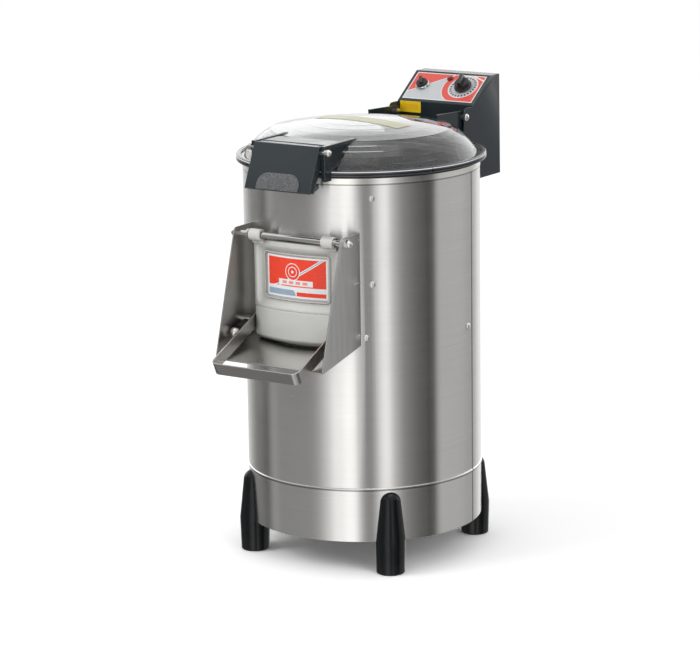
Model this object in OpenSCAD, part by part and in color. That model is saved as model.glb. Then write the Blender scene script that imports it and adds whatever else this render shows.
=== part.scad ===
// Electric potato peeler: a drum on four feet with an abrasive turntable driven by a belt,
// a clear hinged lid, a cast discharge door over a chute, and a control box behind the lid.
// Millimetres. The origin is on the drum's axis at floor level, the front faces -Y, +Z is up.

/* [Drum] */
// Outside diameter of the drum
drum_d = 420; // [412:1:430]
// Thickness of the drum's sheet
sheet_t = 1.5; // [1:0.1:2]
// Height of the skirt's lower edge above the floor
floor_gap = 59; // [50:1:70]
// Height of the skirt
skirt_h = 93; // [85:1:110]
// How far the skirt reaches up inside the shell
lap_h = 18; // [12:1:25]
// Height of the shell above the skirt
shell_h = 540; // [535:1:560]
// Radius of the bead along the shell's lower edge
bead_r = 1.6; // [0.8:0.1:2]
// Height of the rim ring on top of the shell
rim_h = 10; // [8:0.5:14]
// How far the rim ring's band stands out of the shell
rim_out = 0.5; // [0.3:0.1:0.8]
// Depth of the rim ring's two locating legs
rim_leg_h = 12; // [8:1:16]
// Width of the skirt's inward foot flange
hem_w = 18; // [12:1:25]

/* [Feet] */
// Distance of each foot's centre inside the drum's outline
foot_in = 6; // [2:1:8]
// Diameter of a foot at the skirt's lower edge
foot_d = 54; // [46:1:56]
// Diameter of a foot at the floor
foot_sole_d = 51; // [44:1:54]
// Diameter of a foot at its rounded top
foot_top_d = 38.5; // [34:0.5:42]
// Overall height of a foot
foot_h = 148; // [140:1:156]
// Diameter of the bolts that hold the feet
foot_bolt_d = 8; // [6:1:10]
// How far a foot bolt reaches into its foot
foot_bolt_reach = 9; // [7:0.5:11]
// Height of a foot's lower and upper bolt above the skirt's lower edge
foot_bolt_up = [24, 56]; // [20:1:70]

/* [Chamber] */
// Gap between the shell and the chamber wall
wall_gap = 14.5; // [12:0.5:18]
// Thickness of the abrasive lining
lining_t = 3; // [2:0.5:4]
// Height of the chamber floor above the skirt's top edge
floor_up = 233; // [225:1:240]
// Thickness of the chamber floor
floor_t = 3; // [2:0.5:4]
// Height of the chamber floor's upturned edge
floor_edge_h = 46; // [42:1:50]
// Radial gap between the lining and the turntable
turn_gap = 3.5; // [2.5:0.5:6]
// Height of the turntable's underside above the chamber floor
turn_up = 13; // [12:0.5:18]
// Thickness of the turntable
turn_t = 8; // [6:0.5:10]
// Thickness of the abrasive disc
grit_t = 3; // [2:0.5:4]
// Height of the three waves on the abrasive disc
wave_h = 12; // [8:1:14]

/* [Drive] */
// Diameter of the drive shaft
shaft_d = 25; // [22:1:28]
// Outside diameter of the shaft's ball bearings
bearing_d = 52; // [50:1:56]
// Width of a ball bearing
bearing_w = 15; // [13:1:17]
// Height of the bearing housing below the chamber floor
housing_h = 168; // [150:1:172]
// Outside diameter of the bearing housing's tube
housing_d = 66; // [64:1:72]
// Diameter of the bearing housing's flange
housing_flange_d = 96; // [92:1:104]
// Gap between the motor's body and the shell
motor_wall_gap = 15.5; // [12:0.5:20]
// Gap between the two pulleys
pulley_gap = 9; // [7:0.5:14]
// Outside diameter of the motor's pulley
motor_pulley_d = 54; // [50:1:58]
// Height of a pulley
pulley_h = 20; // [18:1:22]
// Depth of a pulley's groove
groove_h = 10; // [9:0.5:11]
// Width of the belt
belt_w = 9; // [7:0.5:9]
// Thickness of the belt
belt_t = 8; // [6:0.5:9]
// Diameter of the motor's shaft
motor_shaft_d = 19; // [16:1:20]
// Diameter of the motor's finned body
motor_d = 130; // [124:2:134]
// Height of the motor's finned body
motor_h = 129; // [120:1:132]
// Thickness of the motor plate
plate_t = 5; // [4:0.5:6]
// Diameter of the studs that carry the motor plate
stud_d = 12; // [10:1:14]

/* [Water] */
// Outside diameter of the drain pipe
drain_d = 50; // [46:1:54]
// Wall of the drain pipe
drain_wall = 3; // [2:0.5:4]
// Distance of the drain hole's middle from the shell's inner face
drain_in = 58.5; // [52:0.5:62]
// How much thicker the drain pipe's neck is than its hose end, on the radius
drain_neck = 1; // [0.5:0.5:3]
// Depth of the drain pipe's axis below the chamber floor
drain_drop = 40; // [36:1:44]
// How far the drain pipe stands out of the shell
drain_out = 52; // [40:1:60]
// Outside diameter of the water inlet
inlet_d = 13; // [12:0.5:15]
// Bore of the water inlet
inlet_bore = 9; // [8:0.5:10]
// Distance of the water inlet's axis below the control box
inlet_down = 32; // [24:1:40]
// How far the water inlet stands out of the shell
inlet_out = 32; // [26:1:40]
// Diameter of the conduit that carries the motor's wires
conduit_d = 10; // [8:0.5:10]

/* [Lid] */
// Thickness of the clear lid
lid_t = 3; // [2.5:0.5:4]
// Height of the lid's gasket
gasket_h = 7.5; // [6:0.5:9]
// Distance of the lid's foot, where the flange begins, inside the drum's outline
lid_foot_in = 3; // [1:0.5:5]
// Height of the lid's shoulder above its flange
lid_shoulder_h = 46; // [40:1:52]
// Distance of the lid's shoulder inside the drum's outline
lid_shoulder_in = 50; // [45:1:55]
// Bulge of the lid's flank between foot and shoulder
lid_flank_bulge = 5.5; // [3:0.5:8]
// Rise of the lid's crown above the shoulder
lid_crown_h = 15; // [10:1:20]
// How far the lid's flange reaches past the drum
lid_flange_out = 9; // [8:0.5:10]
// Outer radius of the edge trim past the drum
trim_out = 11.5; // [11:0.5:14]
// Height of the edge trim
trim_h = 10.5; // [10:0.5:13]
// Width of the gap between the ends of the edge trim
trim_split = 1.5; // [1:0.5:4]
// Distance of the lid's hinge behind the drum
lid_hinge_out = 19.2; // [18:0.2:22]
// Height of the lid's hinge above the rim
lid_hinge_up = 49; // [46:1:52]
// Diameter of the lid's hinge pins
lid_pin_d = 8; // [6:0.5:10]
// Distance between the outer faces of the hinge bracket's wings
hinge_wing_w = 148; // [140:1:149]
// Thickness of the hinge bracket's wings
hinge_wing_t = 4; // [3:0.5:5]

/* [Latch] */
// Width of the latch lever
latch_w = 133.8; // [126:0.2:134]
// Thickness of the latch lever's face
latch_t = 4; // [3:0.5:5]
// Distance of the latch pin in front of the drum
latch_out = 16; // [15:0.5:18]
// Height of the latch pin above the rim
latch_up = 48; // [46:0.5:50]
// Diameter of the latch pin
latch_pin_d = 8; // [6:0.5:8]
// Upper front corner of the lever from the pin, backwards and up
latch_top = [-5.9, 10.3]; // [-8:0.1:12]
// Lower front corner of the lever from the pin, backwards and up
latch_toe = [-39.1, -65.2]; // [-70:0.1:-34]
// Thickness of the latch bracket's wings
latch_wing_t = 7.6; // [6:0.2:8]
// Width of the thumb pad
pad_w = 92; // [80:1:100]
// Height of the thumb pad
pad_h = 31; // [26:1:36]

/* [Discharge door] */
// Width of the discharge opening
opening_w = 150; // [144:1:154]
// Height of the discharge opening
opening_h = 144; // [140:1:150]
// Height of the opening's sill above the chamber floor
sill_up = 38; // [36:1:42]
// How far the door laps over the opening's edge
door_lap = 12; // [10:0.5:14]
// How far the door's frame stands out of the drum
door_out = 18; // [16:0.5:20]
// How far the door's panel stands out of the drum
panel_out = 3; // [3:0.5:5]
// Height of the door's lower band
band_h = 56; // [50:1:60]
// Height of the slope between the lower band and the panel
shelf_h = 12; // [8:1:16]
// Width of the door's side stiles
stile_w = 19; // [16:1:22]
// Height of the door's top rail
rail_h = 12; // [10:1:14]
// Thickness of the door's casting
cast_t = 4; // [3:0.5:5]
// Thickness of the door's gasket
seal_t = 2.5; // [2:0.1:2.6]
// Width of the door's gasket
seal_w = 7; // [5:0.5:8]
// Diameter of the door's hinge rod
rod_d = 10; // [8:0.5:12]
// Distance of the hinge rod in front of the drum
rod_out = 13.2; // [12.8:0.2:15]
// Height of the hinge rod above the door
rod_up = 17.3; // [16:0.5:20]
// Outside diameter of the door's hinge bushes
bush_d = 20; // [18:0.5:22]
// Length of the door's hinge bushes
bush_l = 24; // [20:1:28]

/* [Chute] */
// Room between the door and each side of the chute, where the lock lever moves
lever_room = 22; // [22:0.5:25]
// Thickness of the chute's sheet
chute_t = 2; // [1.5:0.5:3]
// Height of the chute's sides above the hinge rod
chute_top_up = 12.5; // [11:0.5:16]
// How far the chute's sides reach out of the drum at the top
chute_nose_out = 28; // [26:1:34]
// How far the chute's sides reach out of the drum at the bottom
chute_toe_out = 89; // [85:1:92]
// Slope of the tray in degrees
tray_slope = 12.4; // [11.4:0.2:13.4]
// Depth of the tray below the door, at the middle of the drum's face
tray_drop = 4.2; // [3.5:0.1:6]

/* [Bail] */
// Gap between the door's edge and each side of the bail
bail_gap = 0.4; // [0.3:0.1:0.6]
// Length of the bail from its pivot to its front
bail_l = 152; // [148:1:155]
// Height of the bail's flat bar
bar_h = 23; // [20:0.5:23.5]
// Thickness of the bail's flat bar
bar_t = 2.5; // [2:0.5:2.5]
// Outer radius of the bail's two front corners
bail_corner_r = 14; // [10:1:20]
// How far the bail's pivot lies behind the front of the drum
bail_pivot_in = 6; // [5:0.5:7]
// Height of the bail's pivot above the door's lower edge
bail_pivot_up = 32; // [31:0.5:34]
// Diameter of the bail's pivot pins
bail_pin_d = 6; // [5:0.5:7]
// Length of the bail's pivot pins inside the door
bail_pin_in = 9; // [7:0.5:11]

/* [Lock lever] */
// Distance of the lever's pivot in front of the drum
lever_out = 1; // [0:0.5:4]
// Height of the lever's pivot above the door's lower edge
lever_up = 27; // [24:0.5:30]
// Slope of the lever in degrees
lever_tilt = 14.6; // [10:0.2:20]
// Length of the lever from its pivot to the middle of the ball
lever_l = 46.5; // [42:0.5:50]
// Diameter of the lever's ball
ball_d = 18.4; // [17:0.2:18.6]
// Diameter of the lever's grip
grip_d = 18; // [16:0.5:18.5]
// Diameter of the lever's hub
hub_d = 18; // [16:0.5:20]
// Diameter of the lever's rod and of its pivot bolt
lever_rod_d = 8; // [6:0.5:8]

/* [Control box] */
// Overall width of the control box
box_w = 161.2; // [158:0.2:170]
// Thickness of the control box's sheet
box_t = 1.5; // [1:0.1:2]
// Depth of the box's bottom below the rim
box_down = 70; // [60:1:80]
// Height of the box's top above the rim
box_up = 115; // [112:1:120]
// Distance of the box's front face behind the drum
box_front_out = 41.5; // [40:0.5:45]
// Height of the panel's lower edge above the rim
panel_up = 68; // [66:1:70]
// Distance of the panel's upper edge behind the drum
panel_top_out = 108.5; // [104:0.5:110]
// Distance of the box's back behind the drum, at the top
back_top_out = 135.5; // [132:0.5:138]
// Distance of the box's back behind the drum, at the bottom
back_foot_out = 138; // [134:0.5:140]
// How far the ears stand behind the drum's outline at their front edge
ear_out = 10; // [8:0.5:12]
// Radius of the ears' front corner
ear_r = 10; // [6:1:14]

/* [Controls] */
// Timer knob from the panel's middle and up the panel
timer_at = [40, 43]; // [30:1:50]
// Diameter of the timer knob
timer_d = 33; // [30:1:36]
// Diameter of the knobs' shafts
knob_shaft_d = 6; // [5:0.5:7]
// Height of the timer knob
timer_h = 21; // [18:1:24]
// Selector switch from the panel's middle and up the panel
selector_at = [-47, 42]; // [-50:1:50]
// Diameter of the selector's ring
selector_ring_d = 28; // [26:1:30]
// Diameter of the selector's barrel
selector_barrel_d = 22; // [20:1:22]
// Height of the selector knob
selector_h = 16; // [14:1:18]
// Indicator lamp from the panel's middle and up the panel
lamp_at = [1.5, 64]; // [-10:0.5:68]
// Diameter of the indicator lamp's lens
lamp_d = 9; // [8:0.5:10]
// Width of the panel's printed plate
overlay_w = 148; // [144:1:150]
// Margin between the printed plate and the panel's lower edge
overlay_margin = 5.5; // [4:0.5:8]
// Height of the printed plate along the panel
overlay_h = 71; // [68:1:72]
// Thickness of the printed plate
overlay_t = 0.6; // [0.4:0.1:1]
// Bore of the cable gland
gland_bore = 9; // [7:0.5:11]
// Outside diameter of the cable gland's thread
gland_d = 16; // [15:1:20]
// Length of the cable gland below the box
gland_l = 24; // [20:1:30]

/* [Fasteners] */
// Diameter of the small screws
screw_d = 4; // [3:0.5:5]
// Diameter of the small screws' heads
screw_head_d = 7.5; // [6:0.5:9]
// Diameter of the lid brackets' bolts
bracket_bolt_d = 6; // [5:0.5:7]
// Clearance of a running fit, on the radius
run_fit = 0.05; // [0.02:0.01:0.08]
// Clearance of a pressed or threaded fit, on the radius
tight_fit = 0.02; // [0.01:0.01:0.04]
// Gap between pieces that sit against each other
seat = 0.2; // [0.1:0.05:0.3]
// Clearance of bolt holes, on the radius
hole_fit = 0.2; // [0.1:0.05:0.4]
// Gap between pieces that move past each other
free_gap = 0.3; // [0.3:0.05:0.5]

/* [Hidden] */
$fn = 96;
far = 1000;
drum_r = drum_d / 2;
shell_in_r = drum_r - sheet_t;
foot_out = drum_r - foot_in;

// Heights from the floor up
skirt_z = floor_gap;
shell_z = skirt_z + skirt_h;
rim_z = shell_z + shell_h;
rim_top_z = rim_z + rim_h;
floor_z = shell_z + floor_up;
floor_low_z = floor_z - floor_t;

// Chamber
chamber_r = shell_in_r - wall_gap;
lining_r = chamber_r - sheet_t - tight_fit;
grit_r = lining_r - lining_t - turn_gap;
turn_z = floor_z + turn_up;
turn_top_z = turn_z + turn_t;
lining_z = turn_z;

// Discharge opening and door
open_z = floor_z + sill_up;
door_w = opening_w + 2 * door_lap;
door_z = open_z - door_lap;
door_h = opening_h + 2 * door_lap;
door_top_z = door_z + door_h;
door_r = drum_r + door_out;
panel_r = drum_r + panel_out;
rod_y = -drum_r - rod_out;
rod_z = door_top_z + rod_up;
bail_y = -drum_r + bail_pivot_in;
bail_z = door_z + bail_pivot_up;

// Chute and bail
plate_x = door_w / 2 + lever_room;
bail_w = door_w + 2 * (bail_gap + bar_t);
tray_y = -drum_r - chute_toe_out;
tray_z = door_z - tray_drop - chute_toe_out * tan(tray_slope);

// The bail rests on the tray's front edge, so its slope follows from that edge's place
edge_fall = bail_z - tray_z;
edge_reach = bail_y - tray_y;
bail_tilt = atan2(edge_fall, edge_reach) - asin((bar_h / 2 + free_gap) / norm([edge_fall, edge_reach]));

// Lock lever
lever_x = -plate_x + free_gap + max(ball_d, grip_d) / 2;
lever_y = -drum_r - lever_out;
lever_z = door_z + lever_up;
hub_end_x = -bail_w / 2 - 4.8;

// Drive
motor_off = shell_in_r - motor_wall_gap - motor_d / 2;
pulley_d = 2 * (motor_off - motor_pulley_d / 2 - pulley_gap);
motor_plate_z = floor_low_z - housing_h - 18;
pulley_z = motor_plate_z - 8 - pulley_h;
pulley_mid_z = pulley_z + pulley_h / 2;
motor_z = motor_plate_z + plate_t;
stud_at = [for (at = [[127, 100], [153, shell_in_r - 23]], side = [-1, 1])
    at[1] * [cos(at[0]), side * sin(at[0])]];
motor_bolt_r = motor_d / 2 - 8;
housing_bolt_r = (housing_flange_d + housing_d) / 4;

// Lid
lid_foot_r = drum_r - lid_foot_in;
lid_shoulder_r = drum_r - lid_shoulder_in;
gasket_z = rim_top_z + free_gap;
flange_z = gasket_z + gasket_h;
flange_top_z = flange_z + lid_t;
lid_flange_r = drum_r + lid_flange_out;
trim_r = drum_r + trim_out;
trim_z = flange_z - (trim_h - lid_t) / 2;
trim_in_r = lid_foot_r + 6;
trim_wall = (trim_h - lid_t) / 2 - seat;
lid_hinge_y = drum_r + lid_hinge_out;
lid_hinge_z = rim_top_z + lid_hinge_up;

// Latch
latch_y = -drum_r - latch_out;
latch_z = rim_top_z + latch_up;
latch_half = latch_w / 2;
latch_wing_in = latch_half + free_gap + seat;
latch_wing_x = latch_wing_in + latch_wing_t;

// Control box
box_front_y = drum_r + box_front_out;
panel_z = rim_top_z + panel_up;
panel_top_y = drum_r + panel_top_out;
box_top_z = rim_top_z + box_up;
box_z = rim_top_z - box_down;
back_top_y = drum_r + back_top_out;
back_foot_y = drum_r + back_foot_out;
panel_angle = atan2(box_top_z - panel_z, panel_top_y - box_front_y);
panel_l = norm([box_top_z - panel_z, panel_top_y - box_front_y]);
ear_y = drum_r + ear_out;
ear_z = panel_z - 2;

// Water
drain_off = shell_in_r - drain_in;
inlet_z = box_z - inlet_down;

// Screws on the shell: angle round the drum and height above the chamber floor
spacer_at = [for (a = [52.4, 127.6, -127.6, -52.4], z = [floor_z + 133, rim_z - 24.5]) [a, z - floor_z]];
edge_screw_at = [[-124.4, 39.4], [-55.6, 39.4], [4.1, 33.9], [60, 33.9], [120, 33.9], [175.9, 33.9]];
foot_angles = [45, 135, 225, 315];
box_bolt_at = [for (x = [-52, 52], up = [14, 40]) [x, up]];
conduit_x = -36;
conduit_y = sqrt(pow((shell_in_r + chamber_r) / 2, 2) - pow(conduit_x, 2));
conduit_z = box_z + 22;
// Bolts of the front and rear lid brackets: angles round the lid, and their radius
bracket_bolt_angles = [-102.4, -77.6, 76, 104];
bracket_bolt_at_r = drum_r - 24;

// ---- Shapes that repeat ----

module tube(r, bore, h) {
    difference() {
        cylinder(r = r, h = h);
        translate([0, 0, -1]) cylinder(r = bore, h = h + 2);
    }
}

// A cylinder along X from x0 to x1, through a point given as [y, z]
module rod_x(r, x0, x1, at) {
    translate([x0, at[0], at[1]]) rotate([0, 90, 0]) cylinder(r = r, h = x1 - x0);
}

// A plate between x0 and x1 whose outline is drawn in the YZ plane
module plate_x(x0, x1, outline) {
    translate([x0, 0, 0]) rotate([90, 0, 90]) linear_extrude(x1 - x0) polygon(outline);
}

module both_sides() {
    children();
    mirror([1, 0, 0]) children();
}

// Places a piece at an angle round the drum, with its Z axis pointing outwards at radius r
module radial(angle, r, z) {
    rotate([0, 0, angle]) translate([r, 0, z]) rotate([0, 90, 0]) children();
}

// A dome-head screw along +Z: the head's underside is at z = 0, and the shank runs to -l
module dome_screw(d, head_d, l) {
    head_h = head_d * 0.3;
    cap_r = (head_d * head_d / 4 + head_h * head_h) / (2 * head_h);
    intersection() {
        translate([0, 0, head_h - cap_r]) sphere(r = cap_r);
        cylinder(d = head_d, h = head_h);
    }
    translate([0, 0, -l]) cylinder(d = d, h = l + head_h / 2);
}

// A hexagon head along +Z with its underside at z = 0, and a shank running to -l
module hex_bolt(d, l) {
    cylinder(r = d, h = d * 0.7, $fn = 6);
    translate([0, 0, -l]) cylinder(d = d, h = l + d * 0.3);
}

// An acorn nut along +Z on a thread of diameter d, with a blind hole
module acorn_nut(d, depth) {
    difference() {
        union() {
            cylinder(r = d * 0.85, h = d * 0.75, $fn = 6);
            translate([0, 0, d * 0.7]) sphere(d = d * 1.35);
        }
        translate([0, 0, -far]) cylinder(r = far, h = far);
        translate([0, 0, -1]) cylinder(r = d / 2 + tight_fit, h = depth + 1);
    }
}

// Points of an arc from p to q whose middle bulges by sag to the left of the way
function arc(p, q, sag, steps) =
    let (half = norm(q - p) / 2,
         r = (half * half + sag * sag) / (2 * sag),
         dir = (q - p) / (2 * half),
         side = [-dir[1], dir[0]],
         centre = (p + q) / 2 + side * (sag - r),
         turn = asin(half / r))
    [for (i = [0:steps]) let (a = turn * (2 * i / steps - 1)) centre + r * (side * cos(a) + dir * sin(a))];

// A line of points moved sideways by d, to the left of its way
function left_of(v) = [-v[1], v[0]] / norm(v);
function shifted(pts, d) =
    [for (i = [0:len(pts) - 1])
        let (a = left_of(pts[max(i, 1)] - pts[max(i, 1) - 1]),
             j = min(i, len(pts) - 2),
             b = left_of(pts[j + 1] - pts[j]))
        pts[i] + (a + b) * d / (1 + a * b)];
function reversed(pts) = [for (i = [len(pts) - 1:-1:0]) pts[i]];

// ---- Drum ----

module discharge_cut(grow, depth_r) {
    translate([-opening_w / 2 - grow, -depth_r, open_z - grow])
        cube([opening_w + 2 * grow, 60, opening_h + 2 * grow]);
}

module shell_holes() {
    for (s = concat(spacer_at, edge_screw_at))
        radial(s[0], drum_r - 10, floor_z + s[1]) cylinder(d = screw_d + 2 * hole_fit, h = 20);
}

module outer_shell() color("silver") difference() {
    union() {
        translate([0, 0, shell_z]) tube(drum_r, shell_in_r, shell_h);
        translate([0, 0, shell_z + bead_r + 0.3]) rotate_extrude()
            translate([shell_in_r + bead_r + 0.1, 0]) circle(r = bead_r);
    }
    discharge_cut(0, door_r);
    shell_holes();
    translate([0, chamber_r, floor_low_z - drain_drop]) rotate([-90, 0, 0])
        cylinder(r = drain_d / 2 + drain_neck + hole_fit, h = 60);
    translate([0, chamber_r, inlet_z]) rotate([-90, 0, 0])
        cylinder(d = inlet_d + 2 * hole_fit, h = 60);
    translate([conduit_x, chamber_r - 10, conduit_z]) rotate([-90, 0, 0])
        cylinder(d = conduit_d + 2 * hole_fit, h = 60);
    for (b = box_bolt_at) translate([b[0], chamber_r - 20, box_z + b[1]]) rotate([-90, 0, 0])
        cylinder(d = bracket_bolt_d + 2 * hole_fit, h = 60);
}

module base_skirt() color("gainsboro") difference() {
    lap_r = shell_in_r - seat;
    rotate_extrude() polygon([
        [drum_r - hem_w, skirt_z], [drum_r, skirt_z], [drum_r, shell_z - seat], [lap_r, shell_z - seat],
        [lap_r, shell_z + lap_h], [lap_r - sheet_t, shell_z + lap_h],
        [lap_r - sheet_t, shell_z - 2 * sheet_t],
        [shell_in_r, shell_z - 4 * sheet_t], [shell_in_r, skirt_z + sheet_t],
        [drum_r - hem_w, skirt_z + sheet_t]]);
    for (a = foot_angles, up = foot_bolt_up) radial(a, drum_r - 10, skirt_z + up)
        cylinder(d = foot_bolt_d + 2 * hole_fit, h = 20);
}

module rim_ring() color("whitesmoke") rotate_extrude() {
    leg_z = rim_z - rim_leg_h;
    translate([drum_r - sheet_t, rim_z + seat]) square([sheet_t + rim_out, rim_h - seat]);
    translate([chamber_r - sheet_t, rim_top_z - sheet_t])
        square([drum_r + rim_out - chamber_r + sheet_t, sheet_t]);
    translate([chamber_r + seat, leg_z]) square([sheet_t, rim_h + rim_leg_h - sheet_t / 2]);
    translate([shell_in_r - seat - sheet_t, leg_z]) square([sheet_t, rim_h + rim_leg_h - sheet_t / 2]);
}

module chamber_wall() color("lightgray") difference() {
    union() {
        translate([0, 0, floor_z])
            tube(chamber_r, chamber_r - sheet_t, rim_top_z - sheet_t - seat - floor_z);
        intersection() {
            difference() {
                discharge_cut(sheet_t, drum_r);
                discharge_cut(0, drum_r + 1);
            }
            translate([0, 0, floor_z]) tube(shell_in_r - seat, chamber_r - sheet_t, shell_h);
        }
        // Stand-offs that hold the wall off the shell
        for (s = spacer_at) radial(s[0], chamber_r - sheet_t / 2, floor_z + s[1])
            cylinder(r = screw_d * 1.5, h = wall_gap + sheet_t / 2 - seat);
    }
    for (s = spacer_at) radial(s[0], chamber_r + 2, floor_z + s[1])
        cylinder(d = screw_d + 2 * tight_fit, h = wall_gap);
    discharge_cut(0, drum_r);
    translate([0, 0, inlet_z]) rotate([-90, 0, 0]) cylinder(d = inlet_d + 2 * hole_fit, h = drum_r);
}

module abrasive_lining() color("dimgray") difference() {
    translate([0, 0, lining_z]) tube(lining_r, lining_r - lining_t, rim_top_z - rim_h - lining_z);
    discharge_cut(0, drum_r);
    translate([0, 0, inlet_z]) rotate([-90, 0, 0]) cylinder(d = inlet_d + 2 * hole_fit, h = drum_r);
}

module chamber_floor() color("silver") difference() {
    edge_r = shell_in_r - seat;
    union() {
        translate([0, 0, floor_low_z]) cylinder(r = edge_r, h = floor_t);
        translate([0, 0, floor_low_z]) tube(edge_r, edge_r - sheet_t, floor_edge_h + floor_t);
    }
    translate([0, 0, floor_low_z - 1]) cylinder(d = bearing_d + 8, h = floor_t + 2);
    translate([0, drain_off, floor_low_z - 1]) cylinder(d = drain_d - 2 * drain_wall, h = floor_t + 2);
    translate([conduit_x, conduit_y, floor_low_z - 1])
        cylinder(d = conduit_d + 2 * hole_fit, h = floor_t + 2);
    discharge_cut(sheet_t + 1, drum_r);
    for (s = edge_screw_at) radial(s[0], drum_r - 10, floor_z + s[1])
        cylinder(d = screw_d + 2 * tight_fit, h = 20);
    for (a = [45:90:315]) rotate([0, 0, a]) translate([housing_bolt_r, 0, floor_low_z - 1])
        cylinder(d = bracket_bolt_d + 2 * hole_fit, h = floor_t + 2);
}

module shell_screws() color("white") {
    for (s = spacer_at) radial(s[0], drum_r + seat, floor_z + s[1])
        dome_screw(screw_d, screw_head_d, sheet_t + 8);
    for (s = edge_screw_at) radial(s[0], drum_r + seat, floor_z + s[1])
        dome_screw(screw_d, screw_head_d, 2 * sheet_t + 2 * seat + 3);
}

module feet() color([0.08, 0.08, 0.09]) for (a = foot_angles) rotate([0, 0, a]) difference() {
    cone_h = foot_h - foot_top_d / 2;
    edge = 3;
    sole_r = foot_sole_d / 2;
    translate([foot_out, 0, 0]) {
        rotate_extrude() polygon([
            [0, 0], [sole_r - edge, 0], [sole_r - edge / 2, edge * 0.13], [sole_r - edge * 0.13, edge / 2],
            [sole_r, edge], [foot_d / 2, skirt_z], [foot_top_d / 2, cone_h], [0, cone_h]]);
        translate([0, 0, cone_h]) sphere(d = foot_top_d);
    }
    translate([0, 0, skirt_z - seat]) cylinder(r = drum_r + seat, h = far);
    for (up = foot_bolt_up) translate([drum_r - 1, 0, skirt_z + up]) rotate([0, 90, 0])
        cylinder(d = foot_bolt_d + 2 * tight_fit, h = foot_bolt_reach + 2);
}

module foot_bolts() color("gray") for (a = foot_angles, up = foot_bolt_up)
    radial(a, shell_in_r - 2 * seat, skirt_z + up) rotate([180, 0, 0])
        hex_bolt(foot_bolt_d, sheet_t + 2 * seat + foot_bolt_reach);

// ---- Turntable and its shaft ----

module turntable() color("lightgray") difference() {
    boss_h = 7;
    vane_h = turn_up - 3;
    union() {
        translate([0, 0, turn_z]) cylinder(r = grit_r, h = turn_t);
        translate([0, 0, turn_z - boss_h]) cylinder(r = shaft_d + 5, h = boss_h + 1);
        for (a = [0:120:240]) rotate([0, 0, a]) translate([grit_r * 0.35, -4, turn_z - vane_h])
            cube([grit_r * 0.55, 8, vane_h + 1]);
    }
    translate([0, 0, turn_z - boss_h - 1]) cylinder(d = shaft_d + 2 * tight_fit, h = boss_h + 1);
    translate([0, 0, turn_z - 1]) cylinder(d = shaft_d * 0.64 + 2 * tight_fit, h = turn_t + 2);
}

module abrasive_disc() color("dimgray") difference() {
    wave_r = 60;
    base_z = turn_top_z + tight_fit;
    union() {
        translate([0, 0, base_z]) cylinder(r = grit_r - 1, h = grit_t);
        for (a = [0:120:240]) rotate([0, 0, a]) intersection() {
            translate([40, 0, base_z + grit_t + wave_h - wave_r])
                rotate([0, 90, 0]) cylinder(r = wave_r, h = grit_r - 60);
            translate([0, -far / 2, base_z]) cube([far, far, far]);
        }
    }
    translate([0, 0, turn_z]) cylinder(r = shaft_d * 0.8, h = far);
}

module drive_shaft() color("silver") difference() {
    union() {
        translate([0, 0, pulley_z + 1]) cylinder(d = shaft_d, h = turn_z - pulley_z - 1);
        translate([0, 0, turn_z - 1]) cylinder(d = shaft_d * 0.64, h = turn_t + 18);
    }
    translate([0, 0, pulley_z]) cylinder(d = 10 + 2 * tight_fit, h = 26);
}

// Washer and acorn nut on the turntable, washer and bolt under the pulley
module shaft_fasteners() color("white") {
    washer_t = 2;
    stud = shaft_d * 0.64;
    translate([0, 0, turn_top_z + tight_fit]) tube(shaft_d * 0.75, stud / 2 + tight_fit, washer_t);
    translate([0, 0, turn_top_z + washer_t + 2 * tight_fit]) acorn_nut(stud, 16);
    translate([0, 0, pulley_z - tight_fit]) rotate([180, 0, 0]) {
        tube(shaft_d * 0.75, 5 + tight_fit, washer_t);
        translate([0, 0, washer_t + tight_fit]) hex_bolt(10, 22);
    }
}

module bearing_housing() color("slategray") difference() {
    flange_t = 10;
    low_z = floor_low_z - housing_h;
    union() {
        translate([0, 0, low_z]) cylinder(d = housing_d, h = housing_h);
        translate([0, 0, floor_low_z - flange_t]) cylinder(d = housing_flange_d, h = flange_t);
    }
    translate([0, 0, low_z - 1]) cylinder(d = bearing_d - 14, h = housing_h + 2);
    translate([0, 0, low_z - 1]) cylinder(d = bearing_d + 2 * tight_fit, h = bearing_w + 1);
    translate([0, 0, floor_low_z - bearing_w - 2])
        cylinder(d = bearing_d + 2 * tight_fit, h = bearing_w + 3);
    for (a = [45:90:315]) rotate([0, 0, a]) translate([housing_bolt_r, 0, floor_low_z - flange_t - 1])
        cylinder(d = bracket_bolt_d + 2 * hole_fit, h = flange_t + 2);
}

module shaft_bearings() color("gainsboro")
    for (z = [floor_low_z - housing_h, floor_low_z - bearing_w - 2]) {
    race_in = shaft_d / 2 + 3.4;
    race_out = bearing_d / 2 - 3.4;
    translate([0, 0, z]) {
        tube(bearing_d / 2, race_out, bearing_w);
        tube(race_in, shaft_d / 2 + run_fit, bearing_w);
        for (a = [0:40:320]) rotate([0, 0, a]) translate([(race_in + race_out) / 2, 0, bearing_w / 2])
            sphere(r = (race_out - race_in) / 2 - run_fit, $fn = 32);
    }
}

module shaft_seal() color([0.1, 0.1, 0.1]) translate([0, 0, floor_low_z + tight_fit])
    tube(bearing_d / 2 + 4 - seat, shaft_d / 2 + run_fit, floor_t + 3);

// ---- Belt drive ----

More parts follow.
